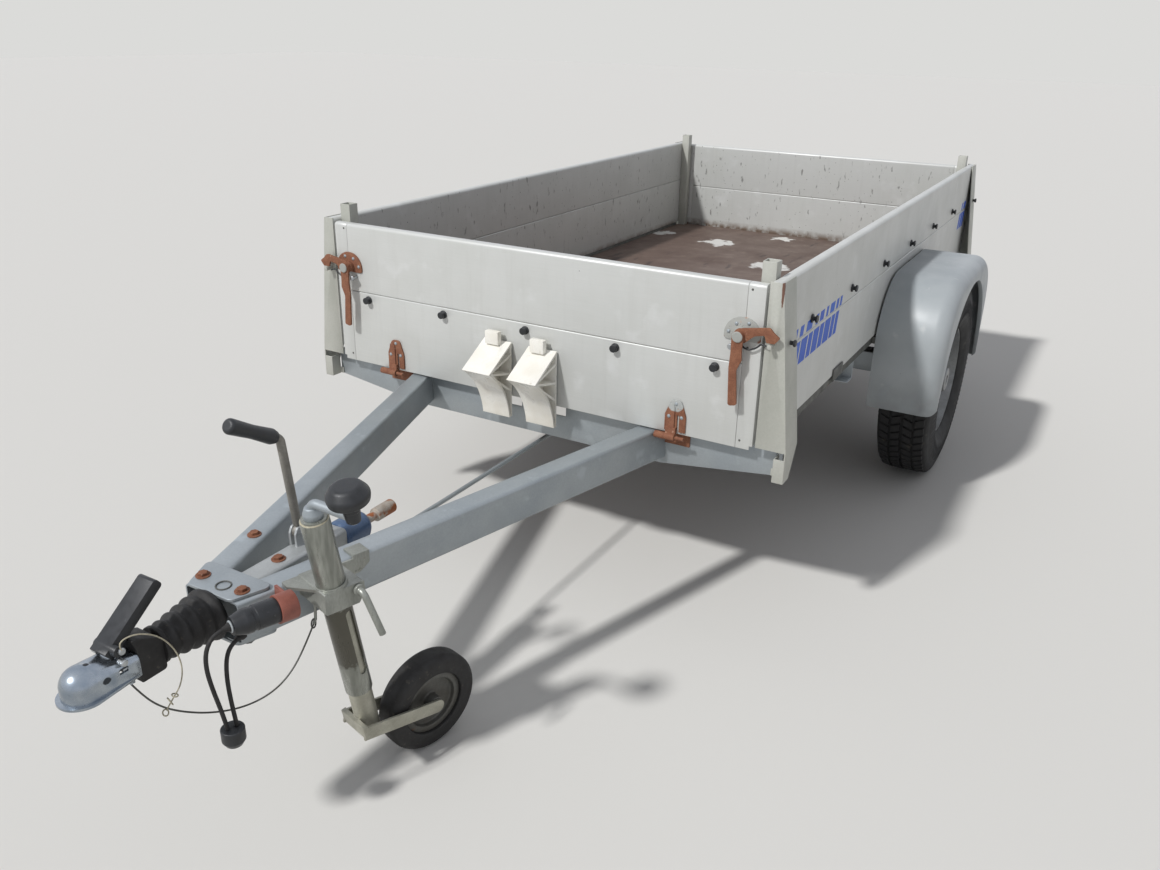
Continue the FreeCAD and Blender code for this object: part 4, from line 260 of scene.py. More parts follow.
finishes = {
    # hot-dip galvanised steel tube: even blue-grey zinc, a soft sheen and hardly any spangle left
    "galvanised": dict(title="hotDipGalvanisedTube", base="#a5abae", tone="#9aa1a5", deep="#7a8084", patch=110,
        grain=3.5, grainShare=0.22, metal=0.5, rough=(0.42, 0.55), bump=0.08, wear=("#a9b0b4", 45, 0.62),
        dirt=("#6a665e", 0.1, 0.46, 0.4)),
    # galvanised sheet gone pale and chalky, with a rusty top corner
    "pale_posts": dict(title="chalkyGalvanisedSheet", base="#bbbbb3", tone="#afb0a7", deep="#8f8f85", patch=90, grain=4,
        grainShare=0.2, metal=0.3, rough=(0.45, 0.6), bump=0.08, specks=("#5e5a50", 34, 1.2, 0.8),
        spots=[("#6e4f41", (605, -4, 828), 12, (3.4, 1, 0.24))]),
    # galvanised steel gone dull and brown with road dirt
    "dark_steel": dict(title="dullRoadStainedSteel", base="#686965", tone="#565651", deep="#393733", patch=40, grain=4,
        metal=0.35, rough=(0.5, 0.7), bump=0.18, wear=("#6d4f3f", 18, 0.66), dirt=("#4a4238", 0.1, 0.46, 0.5)),
    # worn zinc on the flat handbrake lever, brown from hands and weather
    "lever_steel": dict(title="wornZincFlatBar", base="#918e87", tone="#7f7b73", deep="#57534c", patch=30, grain=3,
        grainShare=0.3, metal=0.3, rough=(0.42, 0.6), bump=0.15, wear=("#6b5446", 14, 0.64)),
    # yellowed zinc plate on the jockey wheel's tubes, grimy where hands and grease reach
    "old_zinc": dict(title="yellowedZincPlate", base="#a2a49d", tone="#8c8e87", deep="#62635d", patch=34, grain=3,
        grainShare=0.3, metal=0.45, rough=(0.35, 0.52), bump=0.12, stretch=(1, 1, 0.4), wear=("#5c5b54", 22, 0.66),
        specks=("#6b4a35", 14, 1.2, 0.7)),
    # the jockey wheel's sliding tube: shiny zinc with streaks of old grease, darker brown on a patch just below the
    # clamp
    "greasy_tube": dict(title="greasyZincTube", base="#a3a59d", tone="#85877f", deep="#45463f", patch=16, grain=5,
        grainShare=0.45, metal=0.6, rough=(0.24, 0.4), bump=0.1, stretch=(1, 1, 0.1), specks=("#4a3a2c", 12, 1.2, 0.7),
        spots=[("#55534a", (160, -812, 341), 64, (1, 1, 0.85))]),
    # the inner tube and fork: cream zinc chromate, dirty at the welds
    "cream_zinc": dict(title="creamZincChromate", base="#b4b2a4", tone="#a09e90", deep="#6f6d60", patch=30, grain=3,
        grainShare=0.3, metal=0.4, rough=(0.32, 0.48), bump=0.1, wear=("#6a675a", 20, 0.66)),
    # forged and pressed steel under a dry coat of rust; zinc still shows on a plate, a hinge's tip and the bosses
    "rusty_steel": dict(title="dryRustOnForgings", base="#87563f", tone="#9d6c52", deep="#54321f", patch=16, grain=2.2,
        grainShare=0.55, metal=0.1, rough=(0.7, 0.9), bump=0.5, wear=("#b28d78", 10, 0.64),
        specks=("#33201a", 5, 0.9, 0.8),
        spots=[("#a7a8a3", (526, -2, 730), 48, (1, 6, 1)), ("#9fa09b", (526, -30, 718), 16, (1, 6, 1)),
               ("#9fa09b", (-526, -30, 718), 16, (1, 6, 1)), ("#a9aba8", (392, -4, 540), 22, (1, 1, 1))]),
    # painted strut tube, mostly down to orange rust
    "worn_strut": dict(title="flakingPaintOnTube", base="#b7b0a5", tone="#9c8d7e", deep="#6b5646", patch=24, grain=2.4,
        grainShare=0.3, metal=0.2, rough=(0.45, 0.7), bump=0.3, wear=("#95572f", 30, 0.5)),
    # silver enamel on a welded housing
    "silver_housing": dict(title="silverEnamelledHousing", base="#b4b7b7", tone="#a6a9a9", deep="#7b7d7c", patch=60,
        grain=3, grainShare=0.2, metal=0.3, rough=(0.36, 0.5), bump=0.08, specks=("#5a3a2c", 20, 1.4, 0.8),
        dirt=("#6a655c", 0.3, 0.45, 0.3)),
    # bright zinc plate with a blue cast on a pressed coupling; two slots and a window recess are painted dark, painted
    # shade standing in for their openings
    "blue_zinc": dict(title="blueZincPlatedPressing", base="#a6adb3", tone="#8a949f", deep="#5f6870", patch=26,
        grain=2.5, grainShare=0.15, metal=0.9, rough=(0.2, 0.34), bump=0.06, wear=("#bbbab4", 16, 0.66),
        specks=("#5a5955", 9, 0.8, 0.5),
        spots=[("#15171a", (2, -1167, 429), 6, (1, 0.8, 1)), ("#3a3e42", (34, -1155, 408), 9, (0.6, 1.3, 1.6)),
               ("#3a3e42", (34, -1127, 411), 8, (0.6, 0.9, 2.2))]),
    # blue enamel on the damper
    "blue_paint": dict(title="blueEnamelledDamper", base="#465f80", tone="#53698a", deep="#2c3c52", patch=30, grain=2.5,
        rough=(0.3, 0.45), bump=0.1, wear=("#8a8f92", 14, 0.68)),
    # moulded black polypropylene, dull from the sun
    "black_plastic": dict(title="mouldedBlackPolypropylene", base="#1e2022", tone="#292b2e", deep="#101011", patch=12,
        grain=1.2, rough=(0.36, 0.52), bump=0.25, wear=("#3d3f41", 10, 0.66)),
    # moulded black rubber, dusty on its ridges
    "black_rubber": dict(title="mouldedBlackRubber", base="#171615", tone="#22201e", deep="#0c0b0b", patch=16,
        grain=1.4, rough=(0.6, 0.8), bump=0.3, wear=("#3a3630", 9, 0.62)),
    # tyre rubber with road dust in its tread
    "tyre": dict(title="vulcanisedTyreRubber", base="#191919", tone="#222120", deep="#0d0d0d", patch=30, grain=1.6,
        rough=(0.72, 0.88), bump=0.35, wear=("#38352f", 24, 0.62)),
    # silver enamel on pressed wheels, brake dust round the middle
    "rim_silver": dict(title="silverEnamelledWheel", base="#9da0a1", tone="#8c8f90", deep="#5f6060", patch=30, grain=3,
        metal=0.45, rough=(0.35, 0.5), bump=0.1, dirt=("#554c43", 0.0, 0.6, 0.6), specks=("#4a2f24", 11, 1.2, 0.8)),
    # mudguards moulded in grey polyethylene: a soft shine, fine scratches and dust below
    "guard_grey": dict(title="mouldedGreyPolyethylene", base="#a6abad", tone="#9ca2a5", deep="#808689", patch=90,
        grain=1.6, grainShare=0.12, rough=(0.4, 0.5), bump=0.06, wear=("#b6b9b9", 50, 0.64),
        specks=("#4f5152", 30, 1.3, 0.8), dirt=("#5f5a52", 0.28, 0.42, 0.45)),
    # injection-moulded white polyethylene, glossy, with grime in its pockets
    "white_plastic": dict(title="mouldedWhitePolyethylene", base="#f1efe8", tone="#e9e5da", deep="#d6cfc1", patch=50,
        grain=3, grainShare=0.2, rough=(0.25, 0.36), bump=0.05, wear=("#cfc7b8", 22, 0.67),
        dirt=("#aba291", 0.40, 0.5, 0.4)),
    # orange-red moulded plastic, bleached by the sun
    "red_plastic": dict(title="bleachedRedMoulding", base="#8c5042", tone="#9a5c4d", deep="#613a31", patch=14,
        grain=1.6, rough=(0.45, 0.6), bump=0.2),
    # red acrylic lamp lens, clear gloss over dust
    "lamp_red": dict(title="mouldedRedAcrylic", base="#8c1512", tone="#9c1c18", deep="#6b0f0d", patch=30, grain=2.0,
        grainShare=0.15, rough=(0.12, 0.2), bump=0.05, coat=0.5, dirt=("#5a4a42", 0.3, 0.42, 0.3)),
    # bright zinc on small screws, rivets and bolts
    "bright_zinc": dict(title="brightZincPlatedScrews", base="#b9bcbd", tone="#a4a8aa", deep="#7d8082", patch=8,
        grain=1.5, grainShare=0.2, metal=0.75, rough=(0.28, 0.42), bump=0.08),
    # twisted cotton string, cream where the sun has bleached it
    "string": dict(title="twistedCottonString", base="#cfc8b2", tone="#b9b199", deep="#6e6857", patch=6, grain=1.0,
        grainShare=0.5, rough=(0.8, 0.95), bump=0.5),
}

wallLook = {"base": "#cfd0cd", "tone": "#c8c9c5", "bright": "#d8d9d7", "line": "#a9a8a2", "speck": "#45413c",
            "film": "#6b5440", "patch": 120, "brightPatch": 70, "lineWidth": 0.9, "lineShare": 0.14, "streak": 14,
            "streakShare": 0.12, "specks": (19, 2.0), "fineSpecks": (90, 1.5), "scuff": 12, "filmPatch": 30,
            "filmHeights": (0.004, 0.03), "rough": (0.4, 0.55), "metal": 0.2, "bump": 0.05, "bumpDepth": 0.0003}


# Mill-finish aluminium extrusions: pale grey, fine lines along their length, rain streaks, dark specks inside
def wallMaterial(name, extruded):   # extruded along x or y
    material = newMaterial(name)
    tree = material.node_tree
    plain = surfacePattern(tree)
    lined = surfacePattern(tree, (0.01, 1, 1) if extruded == "x" else (1, 0.01, 1))
    rain = surfacePattern(tree, (1, 1, 0.06))
    patches = noiseMask(tree, plain, wallLook["patch"], 0.35, 0.7, 6.0)
    lines = noiseMask(tree, lined, wallLook["lineWidth"], 0.3, 0.75, 3.0, 1.0)
    streaks = noiseMask(tree, rain, wallLook["streak"], 0.52, 0.75, 5.0, 4.0)
    bright = noiseMask(tree, plain, wallLook["brightPatch"], 0.6, 0.75, 7.0, 6.0)
    fine = noiseMask(tree, plain, 200, 0.48, 0.55, 3.0, 7.0)
    colour = paintOver(tree, wallLook["base"], wallLook["tone"], patches)
    colour = paintOver(tree, colour, wallLook["bright"], bright)
    colour = paintOver(tree, colour, wallLook["line"], lines, wallLook["lineShare"])
    colour = paintOver(tree, colour, wallLook["line"], streaks, wallLook["streakShare"])
    colour = paintOver(tree, colour, wallLook["speck"], speckMask(tree, plain, *wallLook["fineSpecks"]), fine, 0.7)
    # inside the load space: specks, scuffs and a brown film where the floor meets the walls
    scattered = noiseMask(tree, plain, 60, 0.4, 0.48, 3.0, 9.0)
    scuffs = noiseMask(tree, surfacePattern(tree, (1, 1, 0.35)), wallLook["scuff"], 0.63, 0.7, 8.0, 11.0)
    film = noiseMask(tree, plain, wallLook["filmPatch"], 0.3, 0.55, 6.0, 12.0)
    lowDown = heightMask(tree, *(floorTop + height for height in wallLook["filmHeights"]))
    inner = paintOver(tree, colour, wallLook["speck"], speckMask(tree, plain, *wallLook["specks"]), scattered, 0.85)
    inner = paintOver(tree, inner, wallLook["speck"], scuffs, 0.6)
    inner = paintOver(tree, inner, wallLook["film"], lowDown, film, 0.9)
    parts = addNode(tree, "ShaderNodeSeparateXYZ", {0: addNode(tree, "ShaderNodeTexCoord").outputs["Object"]})
    within = []
    for axis, middle, reach in ((0, 0.0, wallInner), (1, frontFace + boxLength / 2, boxLength / 2 - wallThickness)):
        offset = addNode(tree, "ShaderNodeMath", {0: parts.outputs[axis], 1: middle}, operation="SUBTRACT")
        away = addNode(tree, "ShaderNodeMath", {0: offset.outputs[0]}, operation="ABSOLUTE")
        edges = {"Value": away.outputs[0], "From Min": reach + 0.002, "From Max": reach + 0.001}
        within.append(addNode(tree, "ShaderNodeMapRange", edges).outputs[0])
    colour = paintOver(tree, colour, inner, *within)
    return finishSurface(material, colour, patches, lines, wallLook)


floorLook = {"base": "#6f5c51", "tone": "#5d4b42", "deep": "#3c2f29", "pale": "#8a7a6d", "paint": "#d8d6d1",
             "patch": 160, "print": 4, "printShare": 0.3, "stain": 45, "stainShare": 0.45, "scratch": 7,
             "scratchShare": 0.35, "blotEdge": 50, "blotSpread": 0.16, "rough": (0.5, 0.75), "bump": 0.15,
             "blots": [(-0.27, 1.845, 0.1), (-0.075, 2.06, 0.075), (0.045, 1.57, 0.12), (-0.53, 1.9, 0.08)]}


# Phenolic-faced birch plywood: brown film with a fine mesh print, scuffed, with spilt paint
def floorMaterial(name):
    material = newMaterial(name)
    tree = material.node_tree
    plain = surfacePattern(tree)
    patches = noiseMask(tree, plain, floorLook["patch"], 0.35, 0.68, 7.0)
    mesh = addNode(tree, "ShaderNodeTexVoronoi", {"Vector": plain, "Scale": fromMm(floorLook["print"])})
    weave = addNode(tree, "ShaderNodeMapRange", {"Value": mesh.outputs["Distance"], "From Max": 0.7}).outputs[0]
    stains = noiseMask(tree, plain, floorLook["stain"], 0.52, 0.7, 9.0, 3.0)
    scratches = noiseMask(tree, surfacePattern(tree, (0.12, 1, 1)), floorLook["scratch"], 0.6, 0.7, 6.0, 15.0)
    streaks = noiseMask(tree, surfacePattern(tree, (1, 0.25, 1)), 30, 0.6, 0.7, 8.0, 5.0)
    colour = paintOver(tree, floorLook["base"], floorLook["tone"], patches)
    colour = paintOver(tree, colour, floorLook["pale"], stains, floorLook["stainShare"])
    colour = paintOver(tree, colour, floorLook["pale"], scratches, floorLook["scratchShare"])
    colour = paintOver(tree, colour, floorLook["deep"], streaks)
    colour = paintOver(tree, colour, floorLook["deep"], weave, floorLook["printShare"])
    # blots of paint, their outlines pushed about by a noise
    place = addNode(tree, "ShaderNodeTexCoord").outputs["Object"]
    edge = addNode(tree, "ShaderNodeTexNoise", {"Vector": place, "Scale": fromMm(floorLook["blotEdge"]), "Detail": 5.0})
    push = addNode(tree, "ShaderNodeVectorMath", {0: edge.outputs["Color"], 1: (0.5, 0.5, 0.5)}, operation="SUBTRACT")
    spread = (floorLook["blotSpread"], floorLook["blotSpread"], 0.0)
    shifted = addNode(tree, "ShaderNodeVectorMath", {0: push.outputs[0], 1: spread, 2: place}, operation="MULTIPLY_ADD")
    for x, y, radius in floorLook["blots"]:
        middle = at(x, y, floorTop)
        gap = addNode(tree, "ShaderNodeVectorMath", {0: shifted.outputs[0], 1: middle}, operation="DISTANCE")
        edges = {"Value": gap.outputs["Value"], "From Min": radius * 0.62, "From Max": radius * 0.5}
        colour = paintOver(tree, colour, floorLook["paint"], addNode(tree, "ShaderNodeMapRange", edges).outputs[0])
    return finishSurface(material, colour, patches, weave, floorLook)


nodeSlots = {s["node"]: s["material_slot"] for s in frame["record"]["subparts"]}
slotMaterials = {slot: weatheredMaterial(facts) for slot, facts in finishes.items()}
slotMaterials["plywood"] = floorMaterial("filmFacedPlywood")
slotMaterials["wall_alu"] = wallMaterial("millAluminiumBoards", "x")
sideAluminium = wallMaterial("millAluminiumSides", "y")
ownMaterials = {"side_wall_left": sideAluminium, "side_wall_right": sideAluminium,
                "handbrake_strut": slotMaterials["worn_strut"], "handbrake_lever": slotMaterials["lever_steel"],
                "jockey_clamp": slotMaterials["old_zinc"], "clamp_handle": slotMaterials["old_zinc"],
                "jockey_outer_tube": slotMaterials["greasy_tube"], "jockey_leg_fork": slotMaterials["cream_zinc"]}
for place in ("front_left", "front_right", "rear_left", "rear_right"):
    ownMaterials["corner_post_" + place] = slotMaterials["pale_posts"]
for name, node in frame["nodes"].items():
    node.data.materials.clear()
    node.data.materials.append(ownMaterials.get(name, slotMaterials[nodeSlots[name]]))
print("finishes")


# Building blocks for the pieces
def rideOn(piece, body, slot, *nodes):
    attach(piece, body)
    if nodes:
        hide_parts(*nodes)


def newPiece(name, mesh, material):
    if not mesh.materials:
        mesh.materials.append(material)
    return intoScene(name, mesh)


def meshFrom(form, name):
    mesh = bpy.data.meshes.new(name)
    form.to_mesh(mesh)
    form.free()
    return mesh


def smoothByAngle(mesh, degrees):
    mesh.shade_smooth()
    mesh.set_sharp_from_angle(angle=math.radians(degrees))


def applyModifiers(piece):   # the evaluated mesh becomes the piece's own
    depsgraph = bpy.context.evaluated_depsgraph_get()
    mesh = bpy.data.meshes.new_from_object(piece.evaluated_get(depsgraph))
    piece.modifiers.clear()
    piece.data = mesh
    return piece


# Pieces whose CAD shape is right get a copy with softened edges, of this radius in mm
softened = {
    "front_board": 0.8, "tailgate_board": 0.8, "side_wall_right": 0.8, "side_wall_left": 0.8,
    "front_board_knobs": 0.6, "tailgate_knobs": 0.6, "side_wall_knobs": 0.6, "corner_post_front_left": 0.9,
    "corner_post_front_right": 0.9, "corner_post_rear_left": 0.9, "corner_post_rear_right": 0.9, "floor_board": 0.8,
    "side_sills": 0.8, "cross_members": 1.0, "side_rails": 2.0, "drawbar_tube_left": 0.8, "drawbar_tube_right": 0.8,
    "drawbar_plates": 1.0, "overrun_housing": 0.9, "shaft_bellows": 0.8, "coupling_head": 0.7, "coupling_handle": 1.2,
    "brake_damper": 0.9, "handbrake_strut": 0.8, "handbrake_lever": 0.6, "handbrake_grip": 0.9, "brake_rod": 0.7,
    "axle_beam": 2.0, "axle_arms": 1.5, "mudguard_right": 0.7, "mudguard_left": 0.7, "brackets": 0.8,
    "jockey_outer_tube": 0.7, "crank_handle": 0.7, "crank_knob": 1.0, "jockey_leg_fork": 0.8, "jockey_tyre": 0.8,
    "jockey_rim": 0.8, "jockey_clamp": 1.0, "clamp_handle": 0.6, "front_hinge_leaves": 0.8, "front_hinge_bases": 0.8,
    "tailgate_hinge_leaves": 0.8, "tailgate_hinge_bases": 0.8, "front_latches": 1.2, "tailgate_latches": 1.2,
    "wheel_chocks": 1.4, "chock_holders": 0.8, "parked_plug": 0.6, "plug_holder": 0.9, "rear_lamps": 0.8,
    "lead_cap": 0.6,
}
ownTitles = {
    "front_board": "frontBoardPanel", "tailgate_board": "tailgatePanel", "side_wall_right": "sidePanelRight",
    "side_wall_left": "sidePanelLeft", "front_board_knobs": "frontRopeKnobs", "tailgate_knobs": "tailgateRopeKnobs",
    "side_wall_knobs": "sideRopeKnobs", "corner_post_front_left": "postFrontLeft",
    "corner_post_front_right": "postFrontRight", "corner_post_rear_left": "postRearLeft",
    "corner_post_rear_right": "postRearRight", "floor_board": "plywoodFloor", "side_sills": "sillProfiles",
    "side_rails": "frameRails", "drawbar_tube_left": "drawbarLeft", "drawbar_tube_right": "drawbarRight",
    "shaft_bellows": "rubberBellows", "crank_handle": "jockeyCrank", "crank_knob": "jockeyCrankKnob",
}
edgeAngle = 34   # degrees: sharper edges are rounded, shallower ones are facets of a curve
bodyOf = {node: body for body, nodes in frame["record"]["behaviour"]["bodies"].items() for node in nodes}


def softenedCopy(node, title, radius):
    source = frame["nodes"][node]
    form = bmesh.new()
    form.from_mesh(source.data)
    bmesh.ops.remove_doubles(form, verts=form.verts, dist=2e-5)
    bmesh.ops.dissolve_limit(form, angle_limit=math.radians(0.5), verts=form.verts, edges=form.edges)
    mesh = meshFrom(form, title)
    mesh.materials.clear()
    piece = newPiece(title, mesh, source.data.materials[0])
    bevel = piece.modifiers.new("softEdges", "BEVEL")
    bevel.width = radius / 1000
    bevel.segments = 2
    bevel.limit_method = "ANGLE"
    bevel.angle_limit = math.radians(edgeAngle)
    bevel.harden_normals = False
    applyModifiers(piece)
    smoothByAngle(piece.data, edgeAngle)
    rideOn(piece, bodyOf[node], nodeSlots[node], node)
    return piece


def camelTitle(node):
    first, *rest = node.split("_")
    return first + "".join(word.capitalize() for word in rest)


for node, radius in softened.items():
    softenedCopy(node, ownTitles.get(node, camelTitle(node)), radius)
print("softened copies of the CAD pieces")


def bentLine(name, points, diameter, steps, roundness, material):   # a smooth round line through places in mm
    curve = bpy.data.curves.new(name, "CURVE")
    curve.dimensions = "3D"
    spline = curve.splines.new("NURBS")
    spline.points.add(len(points) - 1)
    for place, point in zip(spline.points, points):
        place.co = (*mm(*point), 1)
    spline.order_u = 3
    spline.use_endpoint_u = True
    spline.resolution_u = steps
    curve.bevel_depth = diameter / 2000
    curve.bevel_resolution = roundness
    curve.use_fill_caps = True
    curve.materials.append(material)
    return intoScene(name, curve)


def addCord(title, facts, slot, material, *nodes):
    piece = bentLine(title, facts["points"], facts["diameter"], 8, facts["roundness"], material)
    rideOn(piece, "chassis", slot, *nodes)


# Two leads from the parked plug down to one cap, and the thin breakaway wire
cords = {
    "lead_front": {
        "points": [(103.6, -991, 433), (96, -1015, 432), (95, -1034, 413), (97, -1040, 383), (101, -1037, 343),
                   (105, -1031, 303), (107, -1026, 263)],
        "diameter": 7, "length": 202.0, "roundness": 4, "far": "fitting", "stiffness": "medium", "ends": "leadCap"},
    "lead_rear": {
        "points": [(104, -972, 407), (104, -991, 404), (104, -1006, 389), (106, -1013, 355), (109, -1014, 308),
                   (112, -1012, 263)],
        "diameter": 7, "length": 166.2, "roundness": 4, "far": "fitting", "stiffness": "medium", "ends": "leadCap"},
    "breakaway_wire": {
        "points": [(20, -1117, 378), (27, -1105, 349), (38, -1088, 321), (52, -1063, 299), (66, -1021, 273),
                   (86, -975, 261), (104, -932, 267), (118, -900, 291), (127, -872, 330), (133, -852, 368)],
        "diameter": 3, "length": 385.0, "roundness": 4, "far": "object", "stiffness": "limp"},
}
for name, facts in cords.items():
    addCord(name + "Line", facts, nodeSlots[name], slotMaterials[nodeSlots[name]], name)
print("cords")


# Bolts and rivets are set out by Geometry Nodes on points that say which way each head faces
def lathe(form, outline, steps):   # outline of radius and height, turned about Z
    ring = [form.verts.new((radius, 0, height)) for radius, height in outline]
    edges = [form.edges.new(pair) for pair in zip(ring, ring[1:])]
    bmesh.ops.spin(form, geom=ring + edges, axis=(0, 0, 1), cent=(0, 0, 0), dvec=(0, 0, 0), angle=math.tau, steps=steps,
                   use_merge=True)
    bmesh.ops.remove_doubles(form, verts=form.verts, dist=1e-7)
    bmesh.ops.recalc_face_normals(form, faces=form.faces)
    return form


# Heads of radius 1: a hexagon with a chamfer on its washer, and a domed rivet
headOutlines = {"hexHead": (([(0, 0.22), (1.45, 0.22), (1.5, 0.16), (1.5, 0.0)], 20),
                            ([(0, 0.86), (0.42, 0.84), (0.9, 0.82), (1.0, 0.74), (1.0, 0.2)], 6)),
                "domeHead": (([(0, 0.55), (0.45, 0.5), (0.8, 0.32), (1.0, 0.0)], 20),)}


def boltHead(name):
    form = bmesh.new()
    for outline, sides in headOutlines[name]:
        lathe(form, outline, sides)
    return bpy.data.objects.new(name, meshFrom(form, name))


def newTree(name, *inputs):   # a Geometry Nodes group with named inputs
    tree = bpy.data.node_groups.new(name, "GeometryNodeTree")
    for label, kind in inputs:
        tree.interface.new_socket(label, in_out="INPUT", socket_type="NodeSocket" + kind)
    tree.interface.new_socket("Mesh", in_out="OUTPUT", socket_type="NodeSocketGeometry")
    return tree, addNode(tree, "NodeGroupInput")


def closeTree(tree, given, last):
    finish = addNode(tree, "GeometryNodeSetMaterial", {0: last.outputs[0], "Material": given.outputs["Finish"]})
    addNode(tree, "NodeGroupOutput", {0: finish.outputs[0]})
    return tree


def fastenerTree():
    tree, given = newTree("fasteners", ("Points", "Geometry"), ("Head", "Object"), ("Radius", "Float"), ("Seed", "Int"),
                          ("Finish", "Material"))
    head = addNode(tree, "GeometryNodeObjectInfo", {"Object": given.outputs["Head"]})
    facing = addNode(tree, "GeometryNodeInputNamedAttribute", {"Name": "facing"}, data_type="FLOAT_VECTOR")
    upright = addNode(tree, "FunctionNodeAlignRotationToVector", {"Vector": facing.outputs["Attribute"]}, axis="Z")
    angle = addNode(tree, "FunctionNodeRandomValue", {2: 0.0, 3: math.tau, "Seed": given.outputs["Seed"]},
                    data_type="FLOAT")
    turn = addNode(tree, "FunctionNodeAxisAngleToRotation", {"Axis": (0, 0, 1), "Angle": angle.outputs[1]})
    spun = addNode(tree, "FunctionNodeRotateRotation", {"Rotation": upright.outputs[0], "Rotate By": turn.outputs[0]},
                   rotation_space="LOCAL")
    placed = addNode(tree, "GeometryNodeInstanceOnPoints", {
        "Points": given.outputs["Points"], "Instance": head.outputs["Geometry"], "Rotation": spun.outputs[0],
        "Scale": given.outputs["Radius"]})
    return closeTree(tree, given, addNode(tree, "GeometryNodeRealizeInstances", {0: placed.outputs[0]}))


def ringTree():   # copies of one piece round the wheel's axle, each turned with its place
    tree, given = newTree("roundTheAxle", ("Piece", "Geometry"), ("Count", "Int"), ("Start", "Float"),
                          ("Hub", "Vector"), ("Finish", "Material"))
    line = addNode(tree, "GeometryNodeMeshLine", {"Count": given.outputs["Count"], "Offset": (0, 0, 0)})
    index = addNode(tree, "GeometryNodeInputIndex")
    step = addNode(tree, "ShaderNodeMath", {0: math.tau, 1: given.outputs["Count"]}, operation="DIVIDE")
    angle = addNode(tree, "ShaderNodeMath", {0: index.outputs[0], 1: step.outputs[0], 2: given.outputs["Start"]},
                    operation="MULTIPLY_ADD")
    turn = addNode(tree, "FunctionNodeAxisAngleToRotation", {"Axis": (1, 0, 0), "Angle": angle.outputs[0]})
    placed = addNode(tree, "GeometryNodeInstanceOnPoints", {
        "Points": line.outputs[0], "Instance": given.outputs["Piece"], "Rotation": turn.outputs[0]})
    real = addNode(tree, "GeometryNodeRealizeInstances", {0: placed.outputs[0]})
    moved = addNode(tree, "GeometryNodeSetPosition", {"Geometry": real.outputs[0], "Offset": given.outputs["Hub"]})
    return closeTree(tree, given, moved)


def grow(name, mesh, tree, values):   # runs a tree on a mesh and keeps the plain result
    piece = intoScene(name, mesh)
    nodes = piece.modifiers.new("nodes", "NODES")
    nodes.node_group = tree
    for item in tree.interface.items_tree:
        if item.in_out == "INPUT" and item.name in values:
            nodes[item.identifier] = values[item.name]
    return applyModifiers(piece)


hexHead = boltHead("hexHead")
domeHead = boltHead("domeHead")
fasteners = fastenerTree()
aroundAxle = ringTree()
forward, upward, downward, rightward, leftward = (0, -1, 0), (0, 0, 1), (0, 0, -1), (1, 0, 0), (-1, 0, 0)


def bothSides(points):   # the same places on the left, with the facing turned over
    return points + [((-x, y, z), (-fx, fy, fz)) for (x, y, z), (fx, fy, fz) in points]


def atRear(points):   # the same places on the tailgate
    return [((-x, boxLength * 1000 - y, z), (-fx, -fy, fz)) for (x, y, z), (fx, fy, fz) in points]


def setFasteners(name, body, slot, head, radius, points, seed):
    mesh = bpy.data.meshes.new(name)
    mesh.from_pydata([mm(*place) for place, facing in points], [], [])
    attribute = mesh.attributes.new("facing", "FLOAT_VECTOR", "POINT")
    for item, (place, facing) in zip(attribute.data, points):
        item.vector = facing
    values = {"Head": head, "Radius": radius / 1000, "Seed": seed, "Finish": slotMaterials[slot]}
    piece = grow(name, mesh, fasteners, values)
    smoothByAngle(piece.data, 30)
    rideOn(piece, body, slot)


# Where the drawbar's tubes lie: their upper face at the front board and 906 mm ahead of it, and its bolts.
# The axle beam hangs on four bolts at each side.
drawbar = {"topRear": 463, "topFront": 431, "reach": 906, "depth": 84.6, "plate": 6.3, "boltPlace": -915}
beam = {"x": 480, "y": 1076, "z": 415, "halfWidth": 18, "halfLength": 46}


def tubeTop(y):
    return drawbar["topRear"] + (drawbar["topRear"] - drawbar["topFront"]) / drawbar["reach"] * y


frontBolt = (46, drawbar["boltPlace"], tubeTop(drawbar["boltPlace"]))
latchRivets = [((514.7, -3, 738.3), forward), ((541.3, -3, 742), forward), ((498.6, -3, 719.5), forward)]
hingeRivets = [((x, y, z), forward) for x, y, z in ((393, -4, 537), (378, -7, 507), (407, -4, 507))]
leftHingeRivets = [((x - 784, y, z), facing) for (x, y, z), facing in hingeRivets]
endScrews = [((541.6, 0, 484), forward), ((541.6, 0, 812), forward), ((541.6, 0, 690), forward)]
plateBolts = bothSides([((*frontBolt[:2], frontBolt[2] + drawbar["plate"]), upward)])
plateBolts += [((-82, -771, tubeTop(-771)), upward), ((0, -794, 422), upward)]
underBolts = bothSides([((*frontBolt[:2], frontBolt[2] - drawbar["depth"]), downward)])
for side, across, along in [(i, j, k) for i in (-1, 1) for j in (-1, 1) for k in (-1, 1)]:
    x, y = side * beam["x"] + across * beam["halfWidth"], beam["y"] + along * beam["halfLength"]
    underBolts.append(((x, y, beam["z"]), downward))
setFasteners("plateBolts", "chassis", "rusty_steel", hexHead, 8.5, plateBolts, 3)
setFasteners("underBolts", "chassis", "dark_steel", hexHead, 8.5, underBolts, 4)
boardRivets = bothSides(latchRivets) + hingeRivets + leftHingeRivets
setFasteners("frontRivets", "front_board", "galvanised", domeHead, 4.2, boardRivets, 5)
setFasteners("tailgateRivets", "tailgate", "galvanised", domeHead, 4.2, atRear(boardRivets), 6)
setFasteners("frontEndScrews", "front_board", "dark_steel", domeHead, 2.6, bothSides(endScrews), 7)
setFasteners("tailgateEndScrews", "tailgate", "dark_steel", domeHead, 2.6, atRear(bothSides(endScrews)), 8)
print("bolts and rivets")


